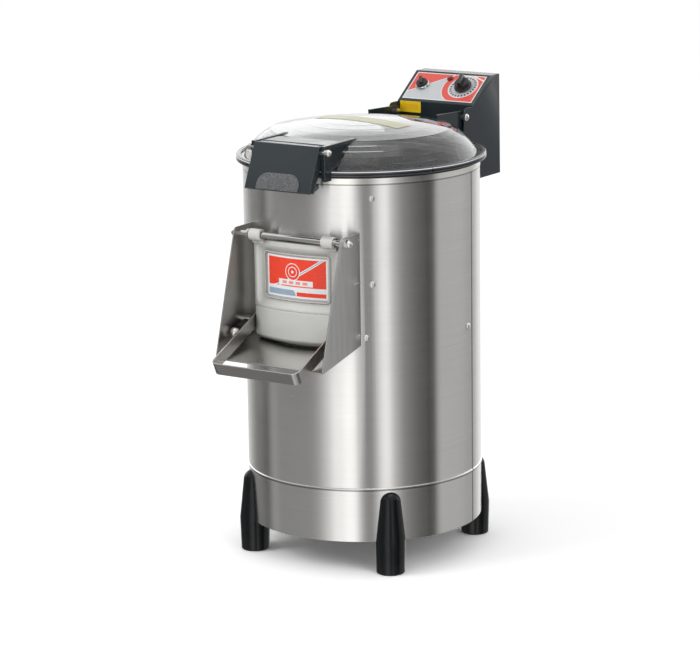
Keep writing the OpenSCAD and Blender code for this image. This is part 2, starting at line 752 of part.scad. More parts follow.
// A grooved pulley with its lower face at z = 0
module pulley(d, bore, hub_d) difference() {
    r = d / 2;
    groove = belt_w / 2 + 0.5;
    rim = r - groove_h - 5;
    web_t = 6;
    union() {
        difference() {
            cylinder(r = r, h = pulley_h);
            if (rim > hub_d / 2 + 8) for (z = [-1, (pulley_h + web_t) / 2]) translate([0, 0, z])
                tube(rim, hub_d / 2, (pulley_h - web_t) / 2 + 1);
        }
    }
    rotate_extrude() translate([r, pulley_h / 2])
        polygon([[1, groove + 2], [-groove_h, groove], [-groove_h, -groove], [1, -groove - 2]]);
    translate([0, 0, -1]) cylinder(d = bore + 2 * tight_fit, h = pulley_h + 2);
    if (rim > hub_d / 2 + 8) for (a = [0:90:270]) rotate([0, 0, a])
        translate([(rim + hub_d / 2) / 2, 0, -1]) cylinder(r = (rim - hub_d / 2) / 3, h = pulley_h + 2);
}

module drum_pulley() color("gray") translate([0, 0, pulley_z]) pulley(pulley_d, shaft_d, shaft_d + 22);

module motor_pulley() color("gray") translate([-motor_off, 0, pulley_z])
    pulley(motor_pulley_d, motor_shaft_d, motor_shaft_d + 8);

// Outline of a belt round two wheels of radius a, on the drum's axis, and b, on the motor's axis
function belt_line(a, b) = let (wrap = acos((a - b) / motor_off)) concat(
    [for (i = [0:36]) let (t = (180 - wrap) * (i / 18 - 1)) a * [cos(t), sin(t)]],
    [for (i = [0:16]) let (t = 180 + wrap * (i / 8 - 1)) b * [cos(t), sin(t)] - [motor_off, 0]]);

module drive_belt() color([0.12, 0.12, 0.12])
    translate([0, 0, pulley_mid_z - belt_w / 2]) linear_extrude(belt_w) {
    inner = groove_h - 1;
    difference() {
        polygon(belt_line(pulley_d / 2 - inner + belt_t, motor_pulley_d / 2 - inner + belt_t));
        polygon(belt_line(pulley_d / 2 - inner, motor_pulley_d / 2 - inner));
    }
}

module motor_body() color("steelblue") translate([-motor_off, 0, motor_z]) difference() {
    r = motor_d / 2;
    union() {
        cylinder(r = r + 5, h = 8);
        cylinder(r = r - 6, h = motor_h);
        for (a = [0:15:345]) rotate([0, 0, a]) translate([r - 8, -1.5, 7]) cube([8, 3, motor_h - 12]);
    }
    translate([0, 0, 10]) cylinder(r = r - 25, h = motor_h);
    translate([0, 0, -1]) cylinder(d = motor_shaft_d + 2 * run_fit, h = 20);
    for (a = [45:90:315]) rotate([0, 0, a]) translate([motor_bolt_r, 0, -1])
        cylinder(d = foot_bolt_d + 2 * tight_fit, h = 8);
}

// End shield with the fan cowl over it
module motor_top_cover() color("steelblue")
    translate([-motor_off, 0, motor_z + motor_h + seat]) difference() {
    r = motor_d / 2;
    cowl_h = 38;
    union() {
        cylinder(r = r - 4, h = 8);
        tube(r - 3, r - 5, cowl_h);
        translate([0, 0, cowl_h - 2]) cylinder(r = r - 3, h = 2);
    }
    translate([0, 0, -1]) cylinder(d = motor_shaft_d + 2 * run_fit, h = 12);
    for (a = [0:30:330]) rotate([0, 0, a]) translate([20, -2, cowl_h - 3]) cube([r - 34, 4, 6]);
}

module motor_rotor() color("silver") translate([-motor_off, 0, 0]) {
    translate([0, 0, pulley_z - 2]) cylinder(d = motor_shaft_d, h = motor_z + motor_h + 30 - pulley_z);
    translate([0, 0, motor_z + 22]) cylinder(r = motor_d / 2 - 26, h = motor_h - 34);
}

module motor_fan() color([0.15, 0.15, 0.15])
    translate([-motor_off, 0, motor_z + motor_h + 13]) difference() {
    blade_r = motor_d / 2 - 13;
    union() {
        cylinder(d = motor_shaft_d + 10, h = 14);
        cylinder(r = blade_r, h = 2);
        for (a = [0:60:300]) rotate([0, 0, a]) translate([10, -1, 0]) cube([blade_r - 11, 2, 14]);
    }
    translate([0, 0, -1]) cylinder(d = motor_shaft_d + 2 * tight_fit, h = 20);
}

module motor_terminal_box() color("steelblue")
    translate([-motor_off - 25, motor_d / 2 + seat, motor_z + 40]) {
    cube([50, 30, 60]);
    translate([-2, 30, -2]) cube([54, 3, 64]);
}

module motor_plate() color("silver") difference() {
    intersection() {
        translate([-drum_r, -100, motor_plate_z]) cube([drum_r - housing_d / 2 - 8, 200, plate_t]);
        cylinder(r = shell_in_r - 4, h = far);
    }
    translate([-motor_off, 0, motor_plate_z - 1]) {
        cylinder(d = motor_shaft_d + 12, h = plate_t + 2);
        for (a = [45:90:315]) rotate([0, 0, a]) translate([motor_bolt_r, 0, 0])
            cylinder(d = foot_bolt_d + 2 * hole_fit, h = plate_t + 2);
    }
    for (p = stud_at) translate([p[0], p[1], motor_plate_z - 1])
        cylinder(d = foot_bolt_d + 2 * hole_fit, h = plate_t + 2);
}

// Studs and nuts that hang the motor plate, motor bolts, and the bearing housing's bolts
module drive_fixings() color("gainsboro") {
    for (p = stud_at) translate([p[0], p[1], 0]) {
        translate([0, 0, motor_z]) cylinder(d = stud_d, h = floor_low_z - motor_z);
        translate([0, 0, motor_plate_z - 8]) cylinder(d = foot_bolt_d, h = plate_t + 9);
        translate([0, 0, motor_plate_z - 6]) cylinder(d = foot_bolt_d * 1.8, h = 6 - seat, $fn = 6);
    }
    translate([-motor_off, 0, motor_plate_z - seat]) for (a = [45:90:315])
        rotate([0, 0, a]) translate([motor_bolt_r, 0, 0])
            rotate([180, 0, 0]) hex_bolt(foot_bolt_d, plate_t + 6);
    for (a = [45:90:315]) rotate([0, 0, a]) translate([housing_bolt_r, 0, floor_low_z - 10 - seat])
        rotate([180, 0, 0]) hex_bolt(bracket_bolt_d, 10 + floor_t);
}

// ---- Water ----

module drain_elbow() color("lightgray") difference() {
    axis_z = floor_low_z - drain_drop;
    neck_r = drain_d / 2 + drain_neck;
    bore_r = drain_d / 2 - drain_wall;
    run = drum_r + drain_out - drain_off;
    union() {
        translate([0, drain_off, axis_z]) {
            cylinder(r = neck_r, h = drain_drop);
            sphere(r = neck_r);
            rotate([-90, 0, 0]) cylinder(r = neck_r, h = drum_r + seat - drain_off);
            rotate([-90, 0, 0]) cylinder(d = drain_d, h = run);
        }
        translate([0, drain_off, floor_low_z - 3]) cylinder(r = neck_r + 8, h = 3);
        translate([0, drum_r + seat, axis_z]) rotate([-90, 0, 0]) cylinder(r = neck_r + 6, h = 4);
    }
    translate([0, drain_off, axis_z]) {
        cylinder(r = bore_r, h = drain_drop + 1);
        sphere(r = bore_r);
        rotate([-90, 0, 0]) cylinder(r = bore_r, h = run + 1);
    }
}

module water_inlet() color("white") translate([0, lining_r - lining_t - 4, inlet_z])
    rotate([-90, 0, 0]) difference() {
        shell_at = drum_r - lining_r + lining_t + 4;
        union() {
            cylinder(d = inlet_d, h = shell_at + inlet_out);
            translate([0, 0, shell_at + seat]) cylinder(d = inlet_d * 1.9, h = 6, $fn = 6);
            cylinder(d = inlet_d * 1.5, h = 3.5);
        }
        translate([0, 0, -1]) cylinder(d = inlet_bore, h = shell_at + inlet_out + 2);
    }

module wire_conduit() color("dimgray") difference() {
    low_z = floor_low_z - 30;
    run = box_front_y + box_t + 5 - conduit_y;
    translate([conduit_x, conduit_y, 0]) {
        translate([0, 0, low_z]) cylinder(d = conduit_d, h = conduit_z - low_z);
        translate([0, 0, conduit_z]) sphere(d = conduit_d);
        translate([0, 0, conduit_z]) rotate([-90, 0, 0]) cylinder(d = conduit_d, h = run);
    }
    translate([conduit_x, conduit_y, 0]) {
        bore_d = conduit_d - 3;
        translate([0, 0, low_z - 1]) cylinder(d = bore_d, h = conduit_z - low_z + 1);
        translate([0, 0, conduit_z]) sphere(d = bore_d);
        translate([0, 0, conduit_z]) rotate([-90, 0, 0]) cylinder(d = bore_d, h = run + 1);
    }
}

// ---- Lid ----

// Outer line of the lid from the middle of its crown to the flange's edge, as [radius, height]
lid_shoulder_z = flange_top_z + lid_shoulder_h;
crown_r = (lid_shoulder_r * lid_shoulder_r + lid_crown_h * lid_crown_h) / (2 * lid_crown_h);
crown_line = [for (i = [0:5]) let (r = lid_shoulder_r * i / 5)
    [r, lid_shoulder_z + lid_crown_h - crown_r + sqrt(crown_r * crown_r - r * r)]];
flank_line = arc([lid_shoulder_r, lid_shoulder_z], [lid_foot_r, flange_top_z], lid_flank_bulge, 5);
lid_line = concat([for (i = [0:4]) crown_line[i]], flank_line, [[lid_flange_r, flange_top_z]]);
function on_axis(pts) = [for (i = [0:len(pts) - 1]) i == 0 ? [0, pts[0][1]] : pts[i]];
function lid_shifted(d) = on_axis(shifted(lid_line, d));

// Everything below the lid's outer surface moved out by d, with the edge trim
module under_lid(d) rotate_extrude() {
    polygon(concat(lid_shifted(d), [[lid_flange_r, rim_top_z], [0, rim_top_z]]));
    translate([trim_in_r - d, trim_z - 40]) square([trim_r - trim_in_r + 2 * d, trim_h + 40 + d]);
}

module on_lid(angle) {
    slope = atan2(lid_shoulder_h, lid_foot_r - lid_shoulder_r);
    bolt_z = flange_top_z + lid_shoulder_h * (lid_foot_r - bracket_bolt_at_r)
        / (lid_foot_r - lid_shoulder_r);
    rotate([0, 0, angle]) translate([bracket_bolt_at_r, 0, bolt_z])
        rotate([0, slope, 0]) translate([0, 0, lid_flank_bulge]) children();
}

module lid_bolt_holes() for (a = bracket_bolt_angles) on_lid(a)
    translate([0, 0, -30]) cylinder(d = bracket_bolt_d + 2 * hole_fit, h = 60);

module lid_dome() color([0.85, 0.92, 0.95, 0.4]) difference() {
    rotate_extrude() polygon(concat(lid_line, reversed(lid_shifted(-lid_t))));
    lid_bolt_holes();
}

module lid_gasket() color([0.15, 0.15, 0.15]) translate([0, 0, gasket_z])
    tube(trim_in_r - 0.5, lid_foot_r - 2, gasket_h - tight_fit);

// U-shaped edging round the flange, split at one place
module lid_edge_trim() color("darkgray") difference() {
    split_angle = 23.5;
    rotate_extrude() difference() {
        translate([trim_in_r, trim_z]) square([trim_r - trim_in_r, trim_h]);
        translate([trim_in_r - 1, trim_z + trim_wall])
            square([lid_flange_r - trim_in_r + 1 + seat, lid_t + 2 * seat]);
    }
    rotate([0, 0, -split_angle]) translate([drum_r - 20, -trim_split / 2, 0]) cube([60, trim_split, far]);
}

// Slab that lies on the lid's flank, between two distances along Y, before the lid is cut from it
module saddle(w, y0, y1, t) intersection() {
    rotate_extrude() polygon(concat(lid_shifted(t + seat), [[lid_flange_r, rim_top_z], [0, rim_top_z]]));
    translate([-w / 2, y0, flange_top_z + 4]) cube([w, y1 - y0, far]);
}

module hinge_bracket() color([0.22, 0.24, 0.26]) difference() {
    wing_x = hinge_wing_w / 2;
    boss_r = 12;
    tip_y = drum_r - 72;
    tip_z = lid_hinge_z + 16;
    union() {
        saddle(hinge_wing_w - 2 * hinge_wing_t + 2, drum_r - 42, trim_in_r - 1, 3);
        both_sides() {
            rod_x(boss_r, wing_x - hinge_wing_t, wing_x, [lid_hinge_y, lid_hinge_z]);
            plate_x(wing_x - hinge_wing_t, wing_x, [
                [lid_hinge_y, lid_hinge_z + boss_r], [tip_y, tip_z], [tip_y + 6, tip_z - 26],
                [drum_r - 3, flange_top_z + 5], [drum_r + 6, flange_top_z + 5],
                [lid_hinge_y + 8, lid_hinge_z - 9]]);
        }
    }
    under_lid(seat);
    lid_bolt_holes();
    rod_x(lid_pin_d / 2 + run_fit, -far, far, [lid_hinge_y, lid_hinge_z]);
}

// Pins through the control box's ears and the hinge bracket's wings
module hinge_pins() color("white") both_sides() {
    wing_in = hinge_wing_w / 2 - hinge_wing_t;
    ear_x = box_w / 2;
    at = [lid_hinge_y, lid_hinge_z];
    rod_x(lid_pin_d / 2, wing_in - 5, ear_x + 1, at);
    rod_x(lid_pin_d * 0.8, wing_in - 5 - free_gap, wing_in - free_gap, at);
    rod_x(lid_pin_d * 0.8, hinge_wing_w / 2 + free_gap, ear_x - box_t - seat, at);
    translate([ear_x + seat, lid_hinge_y, lid_hinge_z]) rotate([0, 90, 0])
        dome_screw(lid_pin_d, lid_pin_d * 1.7, 1);
}

module bracket_bolts() color("gainsboro") for (a = bracket_bolt_angles) on_lid(a) {
    plate = 3 + 2 * seat;
    translate([0, 0, plate]) dome_screw(bracket_bolt_d, bracket_bolt_d * 1.8, plate + lid_t + 7);
    translate([0, 0, -lid_t - 5.5]) tube(bracket_bolt_d * 0.9, bracket_bolt_d / 2 + tight_fit, 5);
}

// ---- Lid latch ----

module latch_bracket() color([0.2, 0.22, 0.24]) difference() {
    top_z = latch_z + latch_top[1];
    front_y = latch_y - 3.5;
    tip_y = -drum_r + 82;
    union() {
        saddle(2 * latch_wing_in + 2, -trim_in_r + 1, -drum_r + 42, 3);
        // Cover plate from the lever's top back to the lid
        translate([-latch_wing_in - 1, latch_y + 18, top_z - 3]) cube([2 * latch_wing_in + 2, 46, 3]);
        both_sides() plate_x(latch_wing_in, latch_wing_x, [
            [front_y, top_z + 1], [tip_y, top_z + 2], [tip_y - 2, top_z - 6], [-drum_r + 25, flange_top_z],
            [-drum_r, rim_top_z - 2], [front_y + 4, rim_top_z - 2], [front_y, rim_top_z + 4]]);
    }
    under_lid(seat);
    lid_bolt_holes();
    rod_x(latch_pin_d / 2 + tight_fit, -far, far, [latch_y, latch_z]);
    // Recess in each wing's outer face
    both_sides() plate_x(latch_wing_x - 2.5, far, [
        [latch_y + 9, top_z - 6], [tip_y - 30, top_z - 6], [tip_y - 51, flange_top_z + 14],
        [latch_y + 9, flange_top_z + 4]]);
}

module latch_lever() color([0.25, 0.28, 0.3]) difference() {
    top = [latch_y, latch_z] + latch_top;
    toe = [latch_y, latch_z] + latch_toe;
    // Towards the inside of the face, and down its slope
    down = (toe - top) / norm(toe - top);
    inward = [-down[1], down[0]];
    face_in = [top + inward * latch_t, toe + inward * latch_t];
    hook_x = latch_half - 14;
    union() {
        plate_x(-latch_half, latch_half, [top, toe, face_in[1], face_in[0]]);
        plate_x(-latch_half, latch_half, [
            top, [latch_y + 13, top[1] - 0.3], [latch_y + 13, top[1] - 3], face_in[0]]);
        both_sides() {
            // Side flange that the latch pin passes through
            plate_x(latch_half - 5, latch_half, [
                top, toe, toe + [15, -2], [latch_y - 9, latch_z - 38],
                [latch_y + 8, latch_z - 6], [latch_y + 8, top[1]]]);
            // Hook that reaches under the rim ring
            plate_x(hook_x - 4, hook_x, [
                toe + [4, 4], toe + [26, 5], toe + [40, -3], toe + [51, 1], toe + [51, 9], toe + [42, 5],
                toe + [28, 13], toe + [8, 12]]);
        }
    }
    rod_x(latch_pin_d / 2 + run_fit, -far, far, [latch_y, latch_z]);
}

module thumb_pad() color([0.36, 0.38, 0.4]) {
    top = [latch_y, latch_z] + latch_top;
    toe = [latch_y, latch_z] + latch_toe;
    lean = atan2(toe[0] - top[0], top[1] - toe[1]);
    corner_r = pad_h * 0.7;
    translate([0, toe[0], toe[1]]) rotate([90 + lean, 0, 0])
        translate([0, 1.5, seat]) linear_extrude(2) difference() {
        union() {
            for (x = [-1, 1]) translate([x * (pad_w / 2 - corner_r), pad_h - corner_r])
                circle(r = corner_r);
            translate([-pad_w / 2 + corner_r, 0]) square([pad_w - 2 * corner_r, pad_h]);
        }
        translate([-far / 2, -far]) square([far, far]);
    }
}

module latch_pin() color("white") {
    end_x = latch_wing_x + 6;
    at = [latch_y, latch_z];
    rod_x(latch_pin_d / 2, -end_x, end_x, at);
    both_sides() {
        rod_x(latch_pin_d * 0.8, latch_wing_x + seat, end_x, at);
        translate([end_x, latch_y, latch_z]) sphere(d = latch_pin_d * 1.4);
    }
}

// ---- Discharge door ----

module front_box(half_w, z0, z1)
    translate([-half_w, -drum_r - 60, z0]) cube([2 * half_w, drum_r + 60, z1 - z0]);

// Curved slab of the drum's outline between two radii, cut to a rectangle seen from the front
module curved_slab(r_out, r_in, half_w, z0, z1) intersection() {
    translate([0, 0, z0]) tube(r_out, r_in, z1 - z0);
    front_box(half_w, z0, z1);
}

module door_casting() color("gainsboro") difference() {
    edge = 3;
    panel_half = door_w / 2 - stile_w;
    shelf_z = door_z + band_h;
    recess_z = shelf_z + shelf_h;
    recess_top = door_top_z - rail_h;
    step = 6;
    pan_gap = 4;
    bush_x = door_w / 2 - bush_l;
    foot_h = 7;
    foot_in = 5;
    union() {
        // Frame and lower band, with a bevelled outer edge
        intersection() {
            rotate_extrude() polygon([
                [panel_r, door_z], [door_r - foot_in, door_z], [door_r, door_z + foot_h],
                [door_r, door_top_z - edge], [door_r - edge, door_top_z], [panel_r, door_top_z]]);
            front_box(door_w / 2, door_z, door_top_z);
        }
        // Pan that fills the opening
        curved_slab(panel_r + 1, panel_r - cast_t, opening_w / 2 - pan_gap,
            open_z + pan_gap, open_z + opening_h - pan_gap);
        // Hinge bushes and the webs that carry them
        both_sides() {
            rod_x(bush_d / 2, bush_x, door_w / 2, [rod_y, rod_z]);
            difference() {
                translate([bush_x, rod_y - 2, door_top_z - rail_h / 2])
                    cube([bush_l, 21, rod_up + rail_h / 2]);
                translate([0, 0, door_z]) cylinder(r = panel_r, h = far);
            }
        }
    }
    // Recessed panel in two steps, with a sloping shelf below it
    intersection() {
        rotate_extrude() polygon([
            [panel_r + cast_t, recess_z - step * 0.6], [door_r, shelf_z], [door_r + 20, shelf_z - 16],
            [door_r + 20, recess_top + 4], [door_r, recess_top + 1], [panel_r + cast_t, recess_top]]);
        front_box(panel_half + 2, door_z, door_top_z);
    }
    intersection() {
        translate([0, 0, recess_z + step]) tube(door_r, panel_r, recess_top - recess_z - 2 * step);
        front_box(panel_half - step, door_z, door_top_z);
    }
    // Hollow behind the lower band
    curved_slab(door_r - cast_t, panel_r - 20, opening_w / 2 - pan_gap - cast_t,
        open_z + pan_gap + cast_t, shelf_z - cast_t);
    rod_x(rod_d / 2 + run_fit, -door_w, door_w, [rod_y, rod_z]);
    both_sides() rod_x(bail_pin_d / 2 + tight_fit, door_w / 2 - bail_pin_in - seat, door_w, [bail_y, bail_z]);
}

module door_gasket() color([0.1, 0.1, 0.1]) {
    inset = 3;
    lip = seal_w;
    r_in = drum_r + panel_out - seal_t - tight_fit;
    difference() {
        curved_slab(panel_r - tight_fit, r_in, door_w / 2 - inset, door_z + inset, door_top_z - inset);
        front_box(door_w / 2 - inset - lip, door_z + inset + lip, door_top_z - inset - lip);
    }
}

module hinge_rod() color("white") rod_x(rod_d / 2, -plate_x - 10, plate_x + 10, [rod_y, rod_z]);

// Acorn nuts and collars on the hinge rod, and the lock lever's pivot bolt with its nut
module chute_fixings() color("white") {
    both_sides() {
        translate([plate_x + chute_t + seat, rod_y, rod_z]) rotate([0, 90, 0]) acorn_nut(rod_d, 8);
        translate([door_w / 2 + free_gap, rod_y, rod_z]) rotate([0, 90, 0])
            tube(rod_d * 0.8, rod_d / 2 + tight_fit, 4);
    }
    at = [lever_y, lever_z];
    rod_x(lever_rod_d / 2, -plate_x - chute_t - 1, hub_end_x + 3.5, at);
    rod_x(lever_rod_d * 0.85, hub_end_x + free_gap, hub_end_x + 3.5, at);
    translate([-plate_x - chute_t - seat, lever_y, lever_z]) rotate([0, -90, 0])
        dome_screw(lever_rod_d, lever_rod_d * 1.7, 1);
}

// ---- Chute ----

// Height of the tray's upper face at a place along Y
function tray_at(y) = tray_z + (y - tray_y) * tan(tray_slope);

module chute() color("darkgray") difference() {
    top_z = rod_z + chute_top_up;
    nose_y = -drum_r - chute_nose_out;
    low_z = tray_z - chute_t - 1;
    root_y = -drum_r + 40;
    union() {
        both_sides() plate_x(plate_x, plate_x + chute_t, [
            [root_y, top_z], [nose_y + 4, top_z - 1], [nose_y, top_z - 6], [tray_y, tray_z + 4],
            [tray_y + 1, low_z], [root_y, low_z + (root_y - tray_y) * tan(tray_slope)]]);
        plate_x(-plate_x - 0.1, plate_x + 0.1, [
            [root_y, tray_at(root_y)], [tray_y, tray_z],
            [tray_y, tray_z - chute_t], [root_y, tray_at(root_y) - chute_t]]);
    }
    translate([0, 0, shell_z]) cylinder(r = drum_r + seat, h = shell_h);
    rod_x(rod_d / 2 + hole_fit, -far, far, [rod_y, rod_z]);
    rod_x(lever_rod_d / 2 + hole_fit, -far, 0, [lever_y, lever_z]);
}

// ---- Bail ----

// Rounded-front rectangle from its front edge at y = -l to y = 0
module bail_plan(w, l, r) {
    translate([-w / 2, r - l]) square([w, l - r]);
    translate([r - w / 2, -l]) square([w - 2 * r, r]);
    for (x = [-1, 1]) translate([x * (w / 2 - r), r - l]) circle(r = r);
}

module bail() color("darkgray") translate([0, bail_y, bail_z]) rotate([bail_tilt, 0, 0]) difference() {
    union() {
        translate([0, 0, -bar_h / 2]) linear_extrude(bar_h) difference() {
            bail_plan(bail_w, bail_l, bail_corner_r);
            bail_plan(bail_w - 2 * bar_t, bail_l - bar_t, bail_corner_r - bar_t);
        }
        both_sides() rod_x(bar_h / 2, bail_w / 2 - bar_t, bail_w / 2, [0, 0]);
    }
    rod_x(bail_pin_d / 2 + run_fit, -bail_w, bail_w, [0, 0]);
}

// Pins pressed into the door's side edges, flush with the bail's sides
module bail_pins() color("white") both_sides()
    rod_x(bail_pin_d / 2, door_w / 2 - bail_pin_in, bail_w / 2, [bail_y, bail_z]);

// ---- Lock lever ----

// Places a piece at the lever's pivot with its Z axis along the lever
module along_lever() translate([lever_x, lever_y, lever_z]) rotate([90 + lever_tilt, 0, 0]) children();

module lock_lever() color("white") difference() {
    union() {
        rod_x(hub_d / 2, -plate_x + free_gap, hub_end_x, [lever_y, lever_z]);
        along_lever() cylinder(d = lever_rod_d, h = lever_l);
    }
    rod_x(lever_rod_d / 2 + run_fit, -far, far, [lever_y, lever_z]);
}

module lever_grip() color([0.1, 0.1, 0.1]) along_lever() translate([0, 0, hub_d / 2 + free_gap])
    tube(grip_d / 2, lever_rod_d / 2 + tight_fit, lever_l - ball_d / 2 - hub_d / 2 - 1);

module lever_ball() color("white") along_lever() translate([0, 0, lever_l]) difference() {
    sphere(d = ball_d);
    translate([0, 0, -ball_d]) cylinder(d = lever_rod_d + 2 * tight_fit, h = ball_d + tight_fit);
}

// ---- Control box ----

// Places a piece on the sloping panel, x from its middle and s up the slope, Z outwards
module on_panel(at) translate([at[0], box_front_y, panel_z]) rotate([panel_angle, 0, 0])
    translate([0, at[1], 0]) children();

module panel_holes(h) {
    on_panel(timer_at) translate([0, 0, -h]) cylinder(d = 12, h = 2 * h);
    on_panel(selector_at) translate([0, 0, -h]) cylinder(d = selector_barrel_d + 2 * hole_fit, h = 2 * h);
    on_panel(lamp_at) translate([0, 0, -h]) cylinder(d = lamp_d + 2 * hole_fit, h = 2 * h);
}

module box_shell() color([0.2, 0.22, 0.24]) difference() {
    half = box_w / 2;
    root_y = drum_r - 30;
    ear_corner = [for (i = [0:4]) let (a = 90 + 90 * i / 4)
        [ear_y + ear_r + ear_r * cos(a), ear_z - ear_r + ear_r * sin(a)]];
    union() {
        both_sides() plate_x(half - box_t, half, concat([
            [panel_top_y, box_top_z], [box_front_y, panel_z], [box_front_y, ear_z]],
            ear_corner,
            [[ear_y, rim_z], [root_y, rim_z - 4], [root_y, box_z],
            [back_foot_y, box_z], [back_top_y, box_top_z]]));
        // Panel, top, front and bottom, folded from one sheet
        plate_x(-half, half, [[box_front_y, panel_z], [panel_top_y, box_top_z],
            [panel_top_y, box_top_z - 1.3 * box_t], [box_front_y, panel_z - 1.3 * box_t]]);
        translate([-half, panel_top_y - 0.5, box_top_z - box_t])
            cube([box_w, back_top_y - panel_top_y + 0.5, box_t]);
        translate([-half, box_front_y, box_z]) cube([box_w, box_t, panel_z - box_z]);
        translate([-half, root_y, box_z]) cube([box_w, back_foot_y - root_y, box_t]);
    }
    translate([0, 0, shell_z]) cylinder(r = drum_r + seat, h = shell_h + rim_h);
    panel_holes(10);
    rod_x(lid_pin_d / 2 + tight_fit, -far, far, [lid_hinge_y, lid_hinge_z]);
    for (b = box_bolt_at) translate([b[0], box_front_y - 5, box_z + b[1]]) rotate([-90, 0, 0])
        cylinder(d = bracket_bolt_d + 2 * hole_fit, h = 10);
    translate([gland_x, gland_y, box_z - 5]) cylinder(d = gland_d + 2 * hole_fit, h = 10);
    translate([conduit_x, box_front_y - 5, conduit_z]) rotate([-90, 0, 0])
        cylinder(d = conduit_d + 2 * hole_fit, h = 10);
    cover_screw_holes();
}

cover_screw_at = [for (x = [-1, 1], f = [0.08, 0.9]) [x * (box_w / 2 - 7), f]];
gland_x = -40;
gland_y = box_front_y + 50;

// Places a piece on the back of the box: across, and as a share of its height, with Z backwards
module on_back(at) {
    lean = atan2(back_foot_y - back_top_y, box_top_z - box_z);
    translate([at[0], back_foot_y + (back_top_y - back_foot_y) * at[1],
        box_z + (box_top_z - box_z) * at[1]])
        rotate([-90 + lean, 0, 0]) children();
}

module cover_screw_holes() for (s = cover_screw_at) on_back(s)
    translate([0, 0, -10]) cylinder(d = screw_d + 2 * hole_fit, h = 20);

module box_back_cover() color([0.2, 0.22, 0.24]) difference() {
    plate_x(-box_w / 2, box_w / 2, [
        [back_top_y + seat, box_top_z], [back_foot_y + seat, box_z],
        [back_foot_y + seat + box_t, box_z], [back_top_y + seat + box_t, box_top_z]]);
    cover_screw_holes();
}

// Spacers and bolts between the drum and the box, and the back cover's screws with their nut strips
module box_fixings() color("gainsboro") {
    strip_x = box_w / 2 - box_t - seat;
    strip_t = 2.5;
    both_sides() plate_x(strip_x - 10.5, strip_x, [
        [back_top_y - strip_t, box_top_z - box_t - 1], [back_foot_y - strip_t, box_z + box_t + 1],
        [back_foot_y - seat, box_z + box_t + 1], [back_top_y - seat, box_top_z - box_t - 1]]);
    for (b = box_bolt_at) {
        inner_y = sqrt(pow(shell_in_r, 2) - pow(abs(b[0]) + 6, 2)) - seat;
        difference() {
            translate([b[0], drum_r - 30, box_z + b[1]]) rotate([-90, 0, 0])
                tube(8, bracket_bolt_d / 2 + hole_fit, box_front_out + 30 - seat);
            translate([0, 0, shell_z]) cylinder(r = drum_r + seat, h = shell_h);
        }
        translate([b[0], inner_y, box_z + b[1]]) rotate([90, 0, 0])
            hex_bolt(bracket_bolt_d, box_front_y - inner_y + box_t + 9);
        translate([b[0], box_front_y + box_t + seat, box_z + b[1]]) rotate([-90, 0, 0])
            tube(bracket_bolt_d * 0.9, bracket_bolt_d / 2 + tight_fit, 5);
    }
    for (s = cover_screw_at) on_back(s) translate([0, 0, box_t + 2 * seat])
        dome_screw(screw_d, screw_head_d, box_t + 2 * seat + 6);
}

module panel_overlay() color("silver") difference() {
    on_panel([-overlay_w / 2, overlay_margin]) translate([0, 0, tight_fit])
        cube([overlay_w, overlay_h, overlay_t]);
    panel_holes(10);
}

// ---- Controls ----

knob_z = overlay_t + 2.6;

module timer_unit() color([0.85, 0.85, 0.8]) on_panel(timer_at) difference() {
    union() {
        translate([-22, -22, -30]) cube([44, 44, 27]);
        translate([0, 0, -4]) cylinder(d = 11, h = 4 + overlay_t + 2);
        translate([0, 0, overlay_t + seat]) cylinder(d = 16, h = 2 - seat, $fn = 6);
    }
    translate([0, 0, -22]) cylinder(d = knob_shaft_d + 2 * run_fit, h = 40);
}

// Round knob with a raised grip bar and its shaft
module timer_knob() color([0.08, 0.08, 0.08]) on_panel(timer_at) {
    translate([0, 0, -20]) cylinder(d = knob_shaft_d, h = 21 + knob_z);
    translate([0, 0, knob_z + free_gap]) {
        cylinder(d = timer_d, h = 4);
        cylinder(d1 = timer_d - 3, d2 = timer_d - 6, h = timer_h * 0.55);
        intersection() {
            translate([-4.5, -timer_d / 2, 0]) cube([9, timer_d, timer_h]);
            cylinder(d1 = timer_d, d2 = timer_d - 8, h = timer_h);
        }
    }
}

module selector_unit() color("white") on_panel(selector_at) difference() {
    union() {
        translate([0, 0, -12]) cylinder(d = selector_barrel_d, h = 14);
        translate([0, 0, overlay_t + seat])
            cylinder(d1 = selector_ring_d, d2 = selector_ring_d - 4, h = 4.5);
        translate([-14, -14, -42]) cube([28, 28, 31]);
    }
    translate([0, 0, -20]) cylinder(d = knob_shaft_d * 2 + 2 * run_fit, h = 40);
}

module selector_knob() color([0.08, 0.08, 0.08]) on_panel(selector_at) {
    disc_d = selector_ring_d - 6;
    translate([0, 0, -14]) cylinder(d = knob_shaft_d * 2, h = 20 + overlay_t);
    translate([0, 0, overlay_t + 4.5 + seat + free_gap]) {
        cylinder(d = disc_d, h = 4);
        translate([-3.5, -disc_d / 2 + 1, 0]) cube([7, disc_d - 2, selector_h - 5]);
    }
}

module indicator_lamp() color("red") on_panel(lamp_at) {
    translate([0, 0, -24]) cylinder(d = lamp_d, h = 26);
    translate([0, 0, overlay_t + seat]) cylinder(d = lamp_d + 3, h = 1.5);
    translate([0, 0, 1]) intersection() {
        sphere(d = lamp_d);
        cylinder(d = lamp_d, h = lamp_d);
    }
}

module cable_gland() color([0.12, 0.12, 0.12]) translate([gland_x, gland_y, box_z]) difference() {
    union() {
        translate([0, 0, -8]) cylinder(d = gland_d * 1.5, h = 8 - seat, $fn = 6);
        translate([0, 0, -gland_l]) cylinder(d1 = gland_d, d2 = gland_d * 1.3, h = gland_l - 8);
        translate([0, 0, -1]) cylinder(d = gland_d, h = 12);
        translate([0, 0, box_t + seat]) cylinder(d = gland_d * 1.4, h = 5, $fn = 6);
    }
    translate([0, 0, -gland_l - 1]) cylinder(d = gland_bore, h = gland_l + 20);
}

